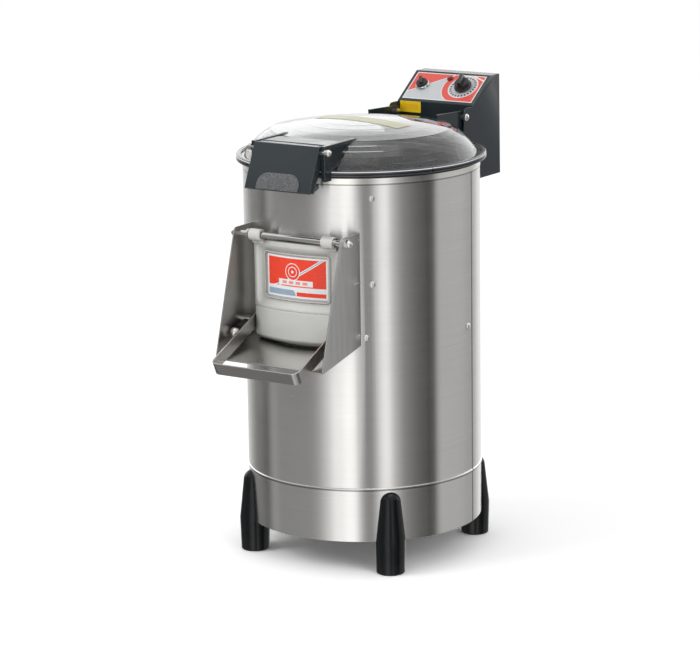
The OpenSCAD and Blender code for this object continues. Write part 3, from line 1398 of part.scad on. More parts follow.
module contactor() color([0.85, 0.83, 0.78])
    translate([-22, box_front_y + box_t + seat, box_z + 24]) difference() {
    cube([45, 62, 60]);
    for (x = [8, 18, 28]) translate([x, -1, 48]) cube([7, 30, 20]);
    for (x = [8, 18, 28]) translate([x, 35, -8]) cube([7, 40, 20]);
}

outer_shell();
base_skirt();
rim_ring();
chamber_wall();
abrasive_lining();
chamber_floor();
shell_screws();
feet();
foot_bolts();
turntable();
abrasive_disc();
drive_shaft();
shaft_fasteners();
bearing_housing();
shaft_bearings();
shaft_seal();
drum_pulley();
drive_belt();
motor_pulley();
motor_body();
motor_top_cover();
motor_rotor();
motor_fan();
motor_terminal_box();
motor_plate();
drive_fixings();
drain_elbow();
water_inlet();
wire_conduit();
lid_dome();
lid_gasket();
lid_edge_trim();
hinge_bracket();
hinge_pins();
bracket_bolts();
latch_bracket();
latch_lever();
thumb_pad();
latch_pin();
door_casting();
door_gasket();
hinge_rod();
chute_fixings();
bail();
bail_pins();
chute();
lock_lever();
lever_grip();
lever_ball();
box_shell();
box_back_cover();
box_fixings();
panel_overlay();
timer_unit();
timer_knob();
selector_unit();
selector_knob();
indicator_lamp();
cable_gland();
contactor();
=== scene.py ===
"""Looks of the electric potato peeler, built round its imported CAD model, in metres."""

import math

import bmesh
import bpy
from mathutils import Matrix, Vector


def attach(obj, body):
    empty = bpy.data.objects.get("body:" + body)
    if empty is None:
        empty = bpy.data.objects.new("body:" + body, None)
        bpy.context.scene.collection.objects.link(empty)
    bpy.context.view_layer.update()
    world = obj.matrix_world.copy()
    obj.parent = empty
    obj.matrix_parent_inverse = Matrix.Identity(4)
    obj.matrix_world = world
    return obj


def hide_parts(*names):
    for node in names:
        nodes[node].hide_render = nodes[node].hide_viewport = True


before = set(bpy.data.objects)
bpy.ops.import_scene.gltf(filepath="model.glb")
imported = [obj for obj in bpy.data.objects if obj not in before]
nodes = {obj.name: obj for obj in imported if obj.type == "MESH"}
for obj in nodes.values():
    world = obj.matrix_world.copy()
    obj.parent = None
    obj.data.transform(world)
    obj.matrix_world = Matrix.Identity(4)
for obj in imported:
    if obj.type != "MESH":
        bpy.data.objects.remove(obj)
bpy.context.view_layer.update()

# ---------------------------------------------------------------------------
# Studio. A pale floor that runs out of sight, a soft sky over it, two large
# lamps, and a ring of dark and white cards that only polished metal shows.

camera_data = bpy.data.cameras.new("camera")
camera_data.lens = 149.24
camera_data.sensor_width = 36.0
camera_data.clip_end = 100.0
camera = bpy.data.objects.new("camera", camera_data)
camera.matrix_world = Matrix(
    (
        (0.83761732, -0.10798983, 0.53547681, 2.7646),
        (0.54608993, 0.18981424, -0.81593893, -4.2560),
        (-0.01352802, 0.97586308, 0.21796386, 1.5342),
        (0.0, 0.0, 0.0, 1.0),
    )
)
bpy.context.scene.collection.objects.link(camera)
bpy.context.scene.camera = camera
bpy.context.scene.view_settings.view_transform = "Standard"


def link(tree, source, target):
    tree.links.new(source, target)


def node(tree, kind, **settings):
    """A shader node; a setting named in_2 fills the third input socket."""
    made = tree.nodes.new("ShaderNode" + kind)
    for key, value in settings.items():
        if key.startswith("in_"):
            made.inputs[int(key[3:])].default_value = value
        else:
            setattr(made, key, value)
    return made


def maths(tree, operation, *values, clamp=False):
    """A Math node; each value is a number or the socket that feeds it."""
    made = tree.nodes.new("ShaderNodeMath")
    made.operation = operation
    made.use_clamp = clamp
    for socket, value in zip(made.inputs, values):
        if isinstance(value, (int, float)):
            socket.default_value = value
        else:
            tree.links.new(value, socket)
    return made.outputs[0]


def ramp(tree, factor, stops):
    """A colour ramp through (position, grey or colour) stops."""
    made = tree.nodes.new("ShaderNodeValToRGB")
    elements = made.color_ramp.elements
    while len(elements) > 1:
        elements.remove(elements[-1])
    for i, (position, value) in enumerate(stops):
        element = elements[0] if i == 0 else elements.new(position)
        element.position = position
        rgb = (value,) * 3 if isinstance(value, (int, float)) else value
        element.color = (*rgb, 1.0)
    tree.links.new(factor, made.inputs[0])
    return made.outputs[0]


def blend_colours(tree, factor, first, second, blend="MIX"):
    """First where the factor is 0 and second where it is 1; each is a colour or a socket."""
    made = tree.nodes.new("ShaderNodeMix")
    made.data_type = "RGBA"
    made.blend_type = blend
    for label, value in (("Factor", factor), ("A", first), ("B", second)):
        socket = [s for s in made.inputs if s.name == label and s.enabled][0]
        if isinstance(value, (int, float)):
            socket.default_value = value
        elif isinstance(value, tuple):
            socket.default_value = (*value, 1.0)
        else:
            tree.links.new(value, socket)
    return [s for s in made.outputs if s.enabled][0]


BACKDROP_GLOW, CEILING_GLOW, TOP_BOX_GLOW = 1.7, 0.8, 2.0
SKY_SEEN, SKY_LIGHT = 1.02, 0.72
FLOOR_HALF, FLOOR_GREY, FLOOR_WHITE = 14.0, (0.88, 0.88, 0.885, 1.0), (1.36, 1.36, 1.365, 1.0)
MACHINE_MIDDLE = (0.0, 0.0, 0.45)
# Cards round the machine: compass angle in degrees and brightness
CARDS = [
    (-180, 0.12), (-168, 0.1), (-162, 0.3), (-157, 0.36), (-150, 0.26), (-112, 0.28), (-104, 0.38),
    (-92, 0.8), (-87, 1.1), (-80, 1.1), (-74, 1.3), (-67, 1.25), (-62, 0.6), (-57, 0.28), (-51, 0.22),
    (-46, 0.45), (-40, 0.95), (-34, 1.1), (-28, 0.6), (-18, 0.27), (-6, 0.15), (8, 0.06),
    (16, 0.09), (22, 0.5), (45, 0.44), (76, 0.3), (95, 0.8), (125, 1.0), (145, 0.6), (168, 0.18), (180, 0.12),
]


def by_compass(tree, compass, stops):
    """A ramp through (compass angle in degrees, brightness) stops."""
    return ramp(tree, compass, [((angle + 180) / 360, value) for angle, value in stops])


def choice(tree, factor, first, second):
    """The first shader where the factor is 0 and the second where it is 1."""
    made = node(tree, "MixShader")
    for socket, source in zip(made.inputs, (factor, first, second)):
        link(tree, source, socket)
    return made.outputs[0]


def seen_directly(tree):
    """1 on rays from the camera, straight or through the clear lid."""
    path = node(tree, "LightPath")
    return maths(tree, "MAXIMUM", path.outputs["Is Camera Ray"], path.outputs["Is Transmission Ray"])


world = bpy.data.worlds.new("studio")
world.use_nodes = True
bpy.context.scene.world = world
sky = world.node_tree
sky.nodes.clear()
direction = node(sky, "SeparateXYZ")
link(sky, node(sky, "TexCoord").outputs["Generated"], direction.inputs[0])
east, north, up = direction.outputs
angle = maths(sky, "ARCTAN2", north, east)
compass = maths(sky, "MULTIPLY_ADD", angle, 0.5 / math.pi, 0.5)
cards = by_compass(sky, compass, CARDS)
# Behind the machine a white backdrop stands above the horizon
behind = by_compass(sky, compass, [(30, 0.0), (60, 1.0), (179, 1.0)])
left_behind = by_compass(sky, compass, [(-179, 1.0), (-165, 0.0)])
backdrop = maths(sky, "MAXIMUM", behind, left_behind)
backdrop = maths(sky, "MULTIPLY", backdrop, ramp(sky, up, [(0.02, 0.0), (0.1, 1.0)]))
gleam = blend_colours(sky, backdrop, cards, (BACKDROP_GLOW,) * 3)
# Over the cards the ceiling is bright, with one softbox straight above
ceiling = ramp(sky, up, [(0.3, 0.0), (0.6, 1.0)])
gleam = blend_colours(sky, ceiling, gleam, (CEILING_GLOW,) * 3)
softbox_seen = ramp(sky, up, [(0.9, 0.0), (0.93, 1.0)])
gleam = blend_colours(sky, softbox_seen, gleam, (TOP_BOX_GLOW,) * 3)
seen = node(sky, "Background", in_0=(1.0, 1.0, 1.0, 1.0), in_1=SKY_SEEN)
soft = node(sky, "Background", in_0=(1.0, 1.0, 1.0, 1.0), in_1=SKY_LIGHT)
shown = node(sky, "Background")
link(sky, gleam, shown.inputs[0])
lighting = choice(sky, node(sky, "LightPath").outputs["Is Glossy Ray"], soft.outputs[0], shown.outputs[0])
link(sky, choice(sky, seen_directly(sky), lighting, seen.outputs[0]), node(sky, "OutputWorld").inputs[0])

floor_bm = bmesh.new()
bmesh.ops.create_grid(floor_bm, x_segments=1, y_segments=1, size=FLOOR_HALF)
floor_mesh = bpy.data.meshes.new("studio_floor")
floor_bm.to_mesh(floor_mesh)
floor_bm.free()
floor = bpy.data.objects.new("studio_floor", floor_mesh)
bpy.context.scene.collection.objects.link(floor)
floor.visible_glossy = False
floor_material = bpy.data.materials.new("studio_floor")
floor_material.use_nodes = True
tree = floor_material.node_tree
tree.nodes.clear()
paint = node(tree, "BsdfDiffuse", in_0=FLOOR_GREY)
white_paint = node(tree, "BsdfDiffuse", in_0=FLOOR_WHITE)
shown = choice(tree, seen_directly(tree), paint.outputs[0], white_paint.outputs[0])
link(tree, shown, node(tree, "OutputMaterial").inputs[0])
floor_mesh.materials.append(floor_material)


def softbox(name, place, aim, size, watts):
    """A rectangular lamp aimed at a point."""
    data = bpy.data.lights.new(name, "AREA")
    data.shape = "RECTANGLE"
    data.size, data.size_y = size
    data.energy = watts
    lamp = bpy.data.objects.new(name, data)
    lamp.location = place
    lamp.rotation_euler = (Vector(aim) - Vector(place)).to_track_quat("-Z", "Y").to_euler()
    lamp.visible_glossy = False
    bpy.context.scene.collection.objects.link(lamp)


softbox("key_lamp", (-2.6, -3.2, 3.4), MACHINE_MIDDLE, (2.2, 2.2), 62.0)
softbox("fill_lamp", (3.6, -1.6, 2.4), MACHINE_MIDDLE, (2.0, 2.0), 26.0)

# ---------------------------------------------------------------------------
# Drum: shell, base skirt and rim ring, rolled from stainless sheet that was
# brushed round the drum. The shell is seam-welded up its right side, and its
# lower edge is rolled into a bead over the skirt.


def group(name, inputs, outputs):
    """A node group with its input and output nodes."""
    made = bpy.data.node_groups.new(name, "ShaderNodeTree")
    for label, kind, value in inputs:
        socket = made.interface.new_socket(label, in_out="INPUT", socket_type="NodeSocket" + kind)
        if value is not None:
            socket.default_value = value
    for label, kind in outputs:
        made.interface.new_socket(label, in_out="OUTPUT", socket_type="NodeSocket" + kind)
    return made, made.nodes.new("NodeGroupInput"), made.nodes.new("NodeGroupOutput")


def place_group(tree, made, place, **values):
    """One use of a node group at these coordinates."""
    inst = tree.nodes.new("ShaderNodeGroup")
    inst.node_tree = made
    link(tree, place, inst.inputs["Place"])
    for label, value in values.items():
        inst.inputs[label].default_value = value
    return inst


def texture(tree, kind, place, **values):
    """A texture node at these coordinates, with values for its sockets."""
    made = node(tree, "Tex" + kind)
    link(tree, place, made.inputs["Vector"])
    for label, value in values.items():
        made.inputs[label].default_value = value
    return made


# Brushed grain: scratches drawn out along the directions where Stretch is low
grain, g_in, g_out = group(
    "brushed_grain",
    [("Place", "Vector", None), ("Stretch", "Vector", (2.0, 2.0, 900.0)), ("Depth", "Float", 0.1)],
    [("Streak", "Float"), ("Normal", "Vector")],
)
pull = node(grain, "VectorMath", operation="MULTIPLY")
link(grain, g_in.outputs["Place"], pull.inputs[0])
link(grain, g_in.outputs["Stretch"], pull.inputs[1])
fine = texture(grain, "Noise", pull.outputs[0], Scale=1.0, Detail=4.0, Roughness=0.7)
streak = maths(grain, "SUBTRACT", fine.outputs[0], 0.5)
link(grain, streak, g_out.inputs["Streak"])
dents = node(grain, "Bump")
dents.inputs["Distance"].default_value = 0.0004
link(grain, g_in.outputs["Depth"], dents.inputs["Strength"])
link(grain, fine.outputs[0], dents.inputs["Height"])
link(grain, dents.outputs[0], g_out.inputs["Normal"])

# Handling marks: soft clouds where hands and cloths have dulled a surface
smudge, s_in, s_out = group(
    "handling_marks",
    [("Place", "Vector", None), ("Size", "Float", 7.0), ("Amount", "Float", 0.1)],
    [("Mark", "Float")],
)
clouds = texture(smudge, "Noise", s_in.outputs["Place"], Detail=5.0, Roughness=0.6, Distortion=0.6)
link(smudge, s_in.outputs["Size"], clouds.inputs["Scale"])
centred = maths(smudge, "SUBTRACT", clouds.outputs[0], 0.5)
scaled = maths(smudge, "MULTIPLY", centred, s_in.outputs["Amount"])
link(smudge, scaled, s_out.inputs["Mark"])


def finish(name, colour, roughness, metallic=0.0, **sockets):
    """A material with its tree, its shader and the object's own coordinates."""
    material = bpy.data.materials.new(name)
    material.use_nodes = True
    tree = material.node_tree
    bsdf = tree.nodes["Principled BSDF"]
    bsdf.inputs["Base Color"].default_value = (*colour, 1.0)
    bsdf.inputs["Roughness"].default_value = roughness
    bsdf.inputs["Metallic"].default_value = metallic
    for label, value in sockets.items():
        bsdf.inputs[label.replace("_", " ")].default_value = value
    return material, tree, bsdf, node(tree, "TexCoord").outputs["Object"]


def axes(tree, place):
    """The X, Y and Z of a place."""
    split = node(tree, "SeparateXYZ")
    link(tree, place, split.inputs[0])
    return split.outputs


def tinted(tree, colour, mask, strength):
    """The colour made lighter or darker by a mask that runs about zero."""
    return blend_colours(tree, 1.0, colour, maths(tree, "MULTIPLY_ADD", mask, strength, 1.0), "MULTIPLY")


def brushed_steel(name, colour, roughness, stretch, depth=0.06, aniso=0.0, streaks=0.3, marks=0.14):
    """Stainless sheet brushed along the directions where stretch is low."""
    material, tree, bsdf, place = finish(
        name, colour, roughness, 1.0, Anisotropic=aniso, Anisotropic_Rotation=0.25 if aniso else 0.0
    )
    if aniso:
        link(tree, node(tree, "Tangent", direction_type="RADIAL", axis="Z").outputs[0], bsdf.inputs["Tangent"])
    lines = place_group(tree, grain, place, Stretch=stretch, Depth=depth)
    cloud = place_group(tree, smudge, place, Size=6.0, Amount=marks)
    link(tree, lines.outputs["Normal"], bsdf.inputs["Normal"])
    toned = tinted(tree, colour, lines.outputs["Streak"], streaks)
    toned = tinted(tree, toned, cloud.outputs["Mark"], -1.0)
    link(tree, toned, bsdf.inputs["Base Color"])
    rough = maths(tree, "MULTIPLY_ADD", lines.outputs["Streak"], 0.1, roughness)
    link(tree, maths(tree, "ADD", rough, cloud.outputs["Mark"], clamp=True), bsdf.inputs["Roughness"])
    return material


def coat(material, *names):
    """Gives a CAD node's object this material."""
    for name in names:
        for slot in nodes[name].material_slots:
            slot.material = material


def fade(tree, value, low, high, start=0.0, end=1.0):
    """Runs from start to end as the value goes from low to high."""
    made = node(tree, "MapRange", in_1=low, in_2=high, in_3=start, in_4=end)
    link(tree, value, made.inputs[0])
    return made.outputs[0]


def band(tree, value, low, high, soft):
    """1 where the value lies between low and high, fading out over soft."""
    rise = fade(tree, value, low - soft, low)
    return maths(tree, "MULTIPLY", rise, fade(tree, value, high, high + soft, 1.0, 0.0))


def reopened(material):
    """A material's tree, shader, coordinates and colour so far, to work on further."""
    tree = material.node_tree
    bsdf = tree.nodes["Principled BSDF"]
    return tree, bsdf, node(tree, "TexCoord").outputs["Object"], bsdf.inputs["Base Color"].links[0].from_socket


def layered(tree, colour, layers):
    """A colour with others laid over it, each where its mask is 1."""
    for mask, upper in layers:
        colour = blend_colours(tree, mask, colour, upper)
    return colour


drum_steel = brushed_steel(
    "drum_steel", (0.8, 0.79, 0.77), 0.24, (3.0, 3.0, 1500.0), depth=0.05, aniso=0.95, streaks=0.22, marks=0.1
)
tree, bsdf, place, base = reopened(drum_steel)
east, north, height = axes(tree, place)
turn = maths(tree, "ARCTAN2", north, east)
# The weld runs up the drum's right side, and a warm band further to the front is a painted reflection
weld = band(tree, turn, math.radians(8.2), math.radians(9.0), math.radians(0.5))
painted_reflection_band = band(tree, turn, math.radians(-24.5), math.radians(-22.0), math.radians(2.0))
# Painted shade darkens the joints under the bead and under the rim ring
bead_shade = band(tree, height, 0.1502, 0.1522, 0.0008)
rim_shade = band(tree, height, 0.6905, 0.694, 0.0015)
joint_shade = maths(tree, "MAXIMUM", bead_shade, rim_shade)
marks = [
    (maths(tree, "MULTIPLY", weld, 0.75), (0.12, 0.11, 0.1)),
    (maths(tree, "MULTIPLY", painted_reflection_band, 0.35), (0.42, 0.36, 0.3)),
    (maths(tree, "MULTIPLY", joint_shade, 0.6), (0.09, 0.088, 0.085)),
]
link(tree, layered(tree, base, marks), bsdf.inputs["Base Color"])
coat(drum_steel, "outer_shell", "base_skirt")
rim_steel = brushed_steel("rim_steel", (0.95, 0.93, 0.88), 0.3, (3.0, 3.0, 900.0), depth=0.03, aniso=0.8)
coat(rim_steel, "rim_ring")

# ---------------------------------------------------------------------------
# Shell screws: polished dome heads with a cross recess that hold the chamber's
# stand-offs and the floor's upturned edge to the shell.

DRUM_R = 0.21
SCREW_HEAD_R = 0.0056
# Compass angle in degrees and height of each screw
SHELL_SCREWS = [(angle, height) for angle in (52.4, 127.6, -127.6, -52.4) for height in (0.518, 0.6675)] + [
    (-124.4, 0.4244), (-55.6, 0.4244), (4.1, 0.4189), (60, 0.4189), (120, 0.4189), (175.9, 0.4189)
]
CROSS_DEPTH = 0.0019
CROSS_TURNS = (20, 110)


def add_piece(name, bm, material, body, replaced=(), sharp=35.0):
    """Makes the object from a bmesh, smooth except at edges sharper than the angle."""
    mesh = bpy.data.meshes.new(name)
    bm.to_mesh(mesh)
    bm.free()
    mesh.polygons.foreach_set("use_smooth", [True] * len(mesh.polygons))
    mesh.set_sharp_from_angle(angle=math.radians(sharp))
    mesh.materials.append(material)
    piece = bpy.data.objects.new(name, mesh)
    bpy.context.scene.collection.objects.link(piece)
    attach(piece, body)
    if replaced:
        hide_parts(*replaced)
    return piece


def take_in(bm, part, matrix=None):
    """Adds a finished part to a bmesh, placed by the matrix."""
    if matrix:
        bmesh.ops.transform(part, matrix=matrix, verts=part.verts)
    spare = bpy.data.meshes.new("spare")
    part.to_mesh(spare)
    part.free()
    bm.from_mesh(spare)
    bpy.data.meshes.remove(spare)


def spun(profile, steps):
    """A part turned from a profile of (radius, height) points round Z."""
    part = bmesh.new()
    verts = [part.verts.new((r, 0.0, z)) for r, z in profile]
    edges = [part.edges.new(pair) for pair in zip(verts, verts[1:])]
    bmesh.ops.spin(
        part, geom=verts + edges, cent=(0, 0, 0), axis=(0, 0, 1), angle=math.tau, steps=steps, use_merge=True
    )
    bmesh.ops.remove_doubles(part, verts=part.verts[:], dist=1e-7)
    bmesh.ops.recalc_face_normals(part, faces=part.faces[:])
    return part


def outward(angle, radius, height):
    """A place on the drum with Z pointing outwards."""
    return (
        Matrix.Rotation(math.radians(angle), 4, "Z")
        @ Matrix.Translation((radius, 0.0, height))
        @ Matrix.Rotation(math.pi / 2, 4, "Y")
    )


def block(size, offset=0.0):
    """A box with eased edges."""
    part = bmesh.new()
    bmesh.ops.create_cube(part, size=1.0)
    bmesh.ops.scale(part, vec=size, verts=part.verts)
    if offset:
        bmesh.ops.bevel(
            part, geom=part.edges[:], offset=offset, segments=2, profile=0.5, affect="EDGES", material=-1
        )
    return part


def handled(tree, bsdf, place, colour, roughness, size, amount, strength):
    """Colour and gloss that drift with handling marks."""
    mark = place_group(tree, smudge, place, Size=size, Amount=amount).outputs["Mark"]
    link(tree, tinted(tree, colour, mark, strength), bsdf.inputs["Base Color"])
    link(tree, maths(tree, "ADD", mark, roughness, clamp=True), bsdf.inputs["Roughness"])


def plain(name, colour, roughness, size, amount, strength, metallic=0.0):
    """A material of one colour under handling marks."""
    material, tree, bsdf, place = finish(name, colour, roughness, metallic)
    handled(tree, bsdf, place, colour, roughness, size, amount, strength)
    return material


polished = plain("polished_steel", (0.82, 0.81, 0.79), 0.17, 90.0, 0.25, -0.8, 1.0)

bm = bmesh.new()
for angle, height in SHELL_SCREWS:
    r = SCREW_HEAD_R
    head = [(0, 0.0002), (r, 0.0002), (r, 0.0009), (r * 0.93, 0.0019), (r * 0.76, 0.0028), (r * 0.55, 0.0033),
            (r * 0.45, 0.0034), (r * 0.38, 0.0021), (0, 0.0019)]
    take_in(bm, spun(head, 28), outward(angle, DRUM_R, height))
    for turn in CROSS_TURNS:
        slot_place = outward(angle, DRUM_R + CROSS_DEPTH, height) @ Matrix.Rotation(math.radians(turn), 4, "Z")
        take_in(bm, block((r * 0.24, r * 0.95, 0.0013), 0.0002), slot_place)
add_piece("shell_screw_heads", bm, polished, "machine", ["shell_screws"])

# ---------------------------------------------------------------------------
# Feet: tall hollow posts moulded in glossy black plastic, each bolted through
# the skirt from inside. The mould's parting line runs round them level with
# the skirt's lower edge.

FOOT_BLACK, FOOT_DUST = (0.003, 0.004, 0.005), (0.03, 0.03, 0.029)


def embossed(tree, bsdf, height, distance, strength=1.0):
    """Fine relief from a height."""
    relief = node(tree, "Bump")
    relief.inputs["Strength"].default_value = strength
    relief.inputs["Distance"].default_value = distance
    link(tree, height, relief.inputs["Height"])
    link(tree, relief.outputs[0], bsdf.inputs["Normal"])


foot_plastic, tree, bsdf, place = finish("foot_plastic", FOOT_BLACK, 0.2, Specular_IOR_Level=0.35)
pores = texture(tree, "Noise", place, Scale=420.0, Detail=3.0)
dust = place_group(tree, smudge, place, Size=30.0, Amount=0.5)
height = axes(tree, place)["Z"]
parting = band(tree, height, 0.0612, 0.0622, 0.0008)
near_floor = fade(tree, height, 0.03, 0.0)
scuffed = maths(tree, "MULTIPLY", near_floor, maths(tree, "ADD", dust.outputs["Mark"], 0.25), clamp=True)
link(tree, blend_colours(tree, scuffed, FOOT_BLACK, FOOT_DUST), bsdf.inputs["Base Color"])
link(tree, maths(tree, "ADD", dust.outputs["Mark"], 0.2, clamp=True), bsdf.inputs["Roughness"])
rough_skin = maths(tree, "MULTIPLY_ADD", parting, 0.9, maths(tree, "MULTIPLY", pores.outputs[0], 0.25))
embossed(tree, bsdf, rough_skin, 0.0006, 0.35)
coat(foot_plastic, "feet")
coat(polished, "foot_bolts")

# ---------------------------------------------------------------------------
# Peeling chamber: a plain sheet wall lined with grit, over a sheet floor, with
# the gritted turntable in it.

sheet_steel = brushed_steel("inner_sheet", (0.62, 0.61, 0.6), 0.36, (30.0, 30.0, 500.0), marks=0.2)
coat(sheet_steel, "chamber_wall", "chamber_floor", "motor_plate", "turntable")

grit, tree, bsdf, place = finish("grit", (0.1, 0.098, 0.095), 0.85)
grains = texture(tree, "Voronoi", place, Scale=420.0)
grain_tones = ramp(tree, grains.outputs["Color"], [(0.0, 0.025), (0.7, (0.06, 0.059, 0.057)), (1.0, 0.22)])
link(tree, grain_tones, bsdf.inputs["Base Color"])
embossed(tree, bsdf, grains.outputs["Distance"], 0.001)
coat(grit, "abrasive_lining", "abrasive_disc")

# ---------------------------------------------------------------------------
# Drive: a cast bearing housing, two turned pulleys and a rubber belt, and a
# painted finned motor that hangs from the chamber floor on four studs.

cast_iron = plain("cast_iron", (0.2, 0.21, 0.22), 0.5, 40.0, 0.5, 1.0, 0.7)
coat(cast_iron, "bearing_housing", "drum_pulley", "motor_pulley")
coat(polished, "drive_shaft", "shaft_fasteners", "shaft_bearings", "drive_fixings", "motor_rotor")

motor_paint = plain("motor_enamel", (0.045, 0.085, 0.13), 0.4, 25.0, 0.6, 0.8)
coat(motor_paint, "motor_body", "motor_top_cover", "motor_terminal_box")

black_rubber = plain("black_rubber", (0.014, 0.014, 0.014), 0.62, 60.0, 0.7, 1.2)
coat(black_rubber, "drive_belt", "shaft_seal", "motor_fan", "wire_conduit", "lid_gasket", "door_gasket")

# ---------------------------------------------------------------------------
# Water: a threaded inlet high on the back of the drum, and a welded drain
# elbow low on it, both stainless.

coat(polished, "water_inlet")
coat(sheet_steel, "drain_elbow")

# ---------------------------------------------------------------------------
# Lid: one clear moulded dome with a turned-out flange, a rubber gasket under
# it and a dark ribbed edging pushed on round it. A pale film sticker is left on
# its crown.

clear_lid, tree, bsdf, place = finish(
    "clear_lid", (0.74, 0.75, 0.755), 0.02, 0.0, Transmission_Weight=0.985, IOR=1.5
)
scuffs = place_group(tree, smudge, place, Size=9.0, Amount=0.06)
link(tree, maths(tree, "ADD", scuffs.outputs["Mark"], 0.03, clamp=True), bsdf.inputs["Roughness"])
coat(clear_lid, "lid_dome")

# The edging's section as (radius, height), and where its two ends meet
TRIM_PROFILE = [
    (0.2132, 0.70605), (0.2196, 0.70605), (0.2209, 0.7064), (0.2215, 0.7074), (0.2215, 0.7091),
    (0.2204, 0.7096), (0.2204, 0.7104), (0.2213, 0.7109), (0.2213, 0.7131), (0.2202, 0.7136),
    (0.2202, 0.7143), (0.2208, 0.7147), (0.2206, 0.7158), (0.2195, 0.71655), (0.2132, 0.71655),
    (0.213, 0.7161), (0.213, 0.7134), (0.2191, 0.7134), (0.2191, 0.7095), (0.213, 0.7095), (0.213, 0.7065),
]
TRIM_SPLIT = math.radians(-23.5)
TRIM_GAP = 0.0015 / 0.217
bm = bmesh.new()
verts = [bm.verts.new((r, 0.0, z)) for r, z in TRIM_PROFILE]
edges = [bm.edges.new(pair) for pair in zip(verts, verts[1:] + verts[:1])]
bmesh.ops.rotate(bm, verts=verts, cent=(0, 0, 0), matrix=Matrix.Rotation(TRIM_SPLIT + TRIM_GAP / 2, 3, "Z"))
bmesh.ops.spin(
    bm, geom=verts + edges, cent=(0, 0, 0), axis=(0, 0, 1), angle=math.tau - TRIM_GAP, steps=144, use_merge=False
)
bmesh.ops.holes_fill(bm, edges=[e for e in bm.edges if e.is_boundary], sides=0)
bmesh.ops.recalc_face_normals(bm, faces=bm.faces[:])
edging, tree, bsdf, place = finish("edging_plastic", (0.05, 0.054, 0.06), 0.16)
# A painted highlight runs round the upper rib, and painted shade lies in the lower groove
height = axes(tree, place)["Z"]
rib_highlight = band(tree, height, 0.7136, 0.7149, 0.0003)
groove_shade = band(tree, height, 0.7094, 0.7106, 0.0003)
ribbed = layered(tree, (0.05, 0.054, 0.06), [(rib_highlight, (1.0, 1.0, 1.0)), (groove_shade, (0.004, 0.004, 0.004))])
handled(tree, bsdf, place, ribbed, 0.16, 20.0, 0.3, 1.0)
add_piece("lid_edging", bm, edging, "lid", ["lid_edge_trim"])

# The lid's crown is part of a sphere, and the film lies on it
CROWN_R, CROWN_TOP = 0.8608, 0.7738
FILM_LONG, FILM_WIDE, FILM_T = 0.0945, 0.0195, 0.0002
FILM_PLACE = Matrix.Translation((0.0065, -0.004, 0.0)) @ Matrix.Rotation(math.radians(-7.0), 4, "Z")


def rounded_loop(bm, half, low, high, depth, radius, steps=4, middle=0.0):
    """Edges of a flat rounded rectangle at a height of depth along Z."""
    made = bmesh.ops.create_circle(bm, segments=4 * steps, radius=radius)["verts"]
    bmesh.ops.rotate(bm, verts=made, cent=(0, 0, 0), matrix=Matrix.Rotation(math.pi / (4 * steps), 3, "Z"))
    for v in made:
        v.co.x += math.copysign(half - radius, v.co.x) + middle
        v.co.y += (high - radius) if v.co.y > 0 else (low + radius)
        v.co.z = depth
    return list({e for v in made for e in v.link_edges})


def stacked(bm, loops, steps=4, middle=0.0):
    """A closed solid through a stack of rounded rectangles (half, low, high, depth, radius)."""
    rings = []
    for level, (half, low, high, _, radius) in enumerate(loops):
        rings.append(rounded_loop(bm, half, low, high, level, radius, steps, middle))
    for first, second in zip(rings, rings[1:]):
        bmesh.ops.bridge_loops(bm, edges=first + second)
    bmesh.ops.holes_fill(bm, edges=rings[0] + rings[-1], sides=0)
    for ring, spec in zip(rings, loops):
        for v in {v for e in ring for v in e.verts}:
            v.co.z = spec[3]
    faces = {f for ring in rings for e in ring for f in e.link_faces}
    bmesh.ops.recalc_face_normals(bm, faces=list(faces))


def slice_across(bm, spacing, reach, normal=(1, 0, 0)):
    """Cuts flat faces into strips so that they can be bent."""
    count = int(reach / spacing)
    for k in range(-count, count + 1):
        bmesh.ops.bisect_plane(
            bm, geom=bm.verts[:] + bm.edges[:] + bm.faces[:], dist=1e-7,
            plane_co=Vector(normal) * k * spacing, plane_no=normal,
        )


bm = bmesh.new()
stacked(bm, [(FILM_LONG, -FILM_WIDE, FILM_WIDE, depth, 0.002) for depth in (0.0, FILM_T)])
slice_across(bm, 0.006, 0.096)
slice_across(bm, 0.006, 0.03, (0, 1, 0))
bmesh.ops.transform(bm, matrix=FILM_PLACE, verts=bm.verts)
for v in bm.verts:
    flat = math.hypot(v.co.x, v.co.y)
    v.co.z += CROWN_TOP + FILM_T - CROWN_R + math.sqrt(CROWN_R**2 - flat**2)
film, tree, bsdf, place = finish("pale_film", (0.5, 0.48, 0.3), 0.4)
cloud = place_group(tree, smudge, place, Size=30.0, Amount=0.5)
faded = maths(tree, "ADD", cloud.outputs["Mark"], 0.4, clamp=True)
link(tree, blend_colours(tree, faded, (0.56, 0.55, 0.4), (0.5, 0.47, 0.24)), bsdf.inputs["Base Color"])
link(tree, faded, bsdf.inputs["Roughness"])
add_piece("lid_sticker", bm, film, "lid")
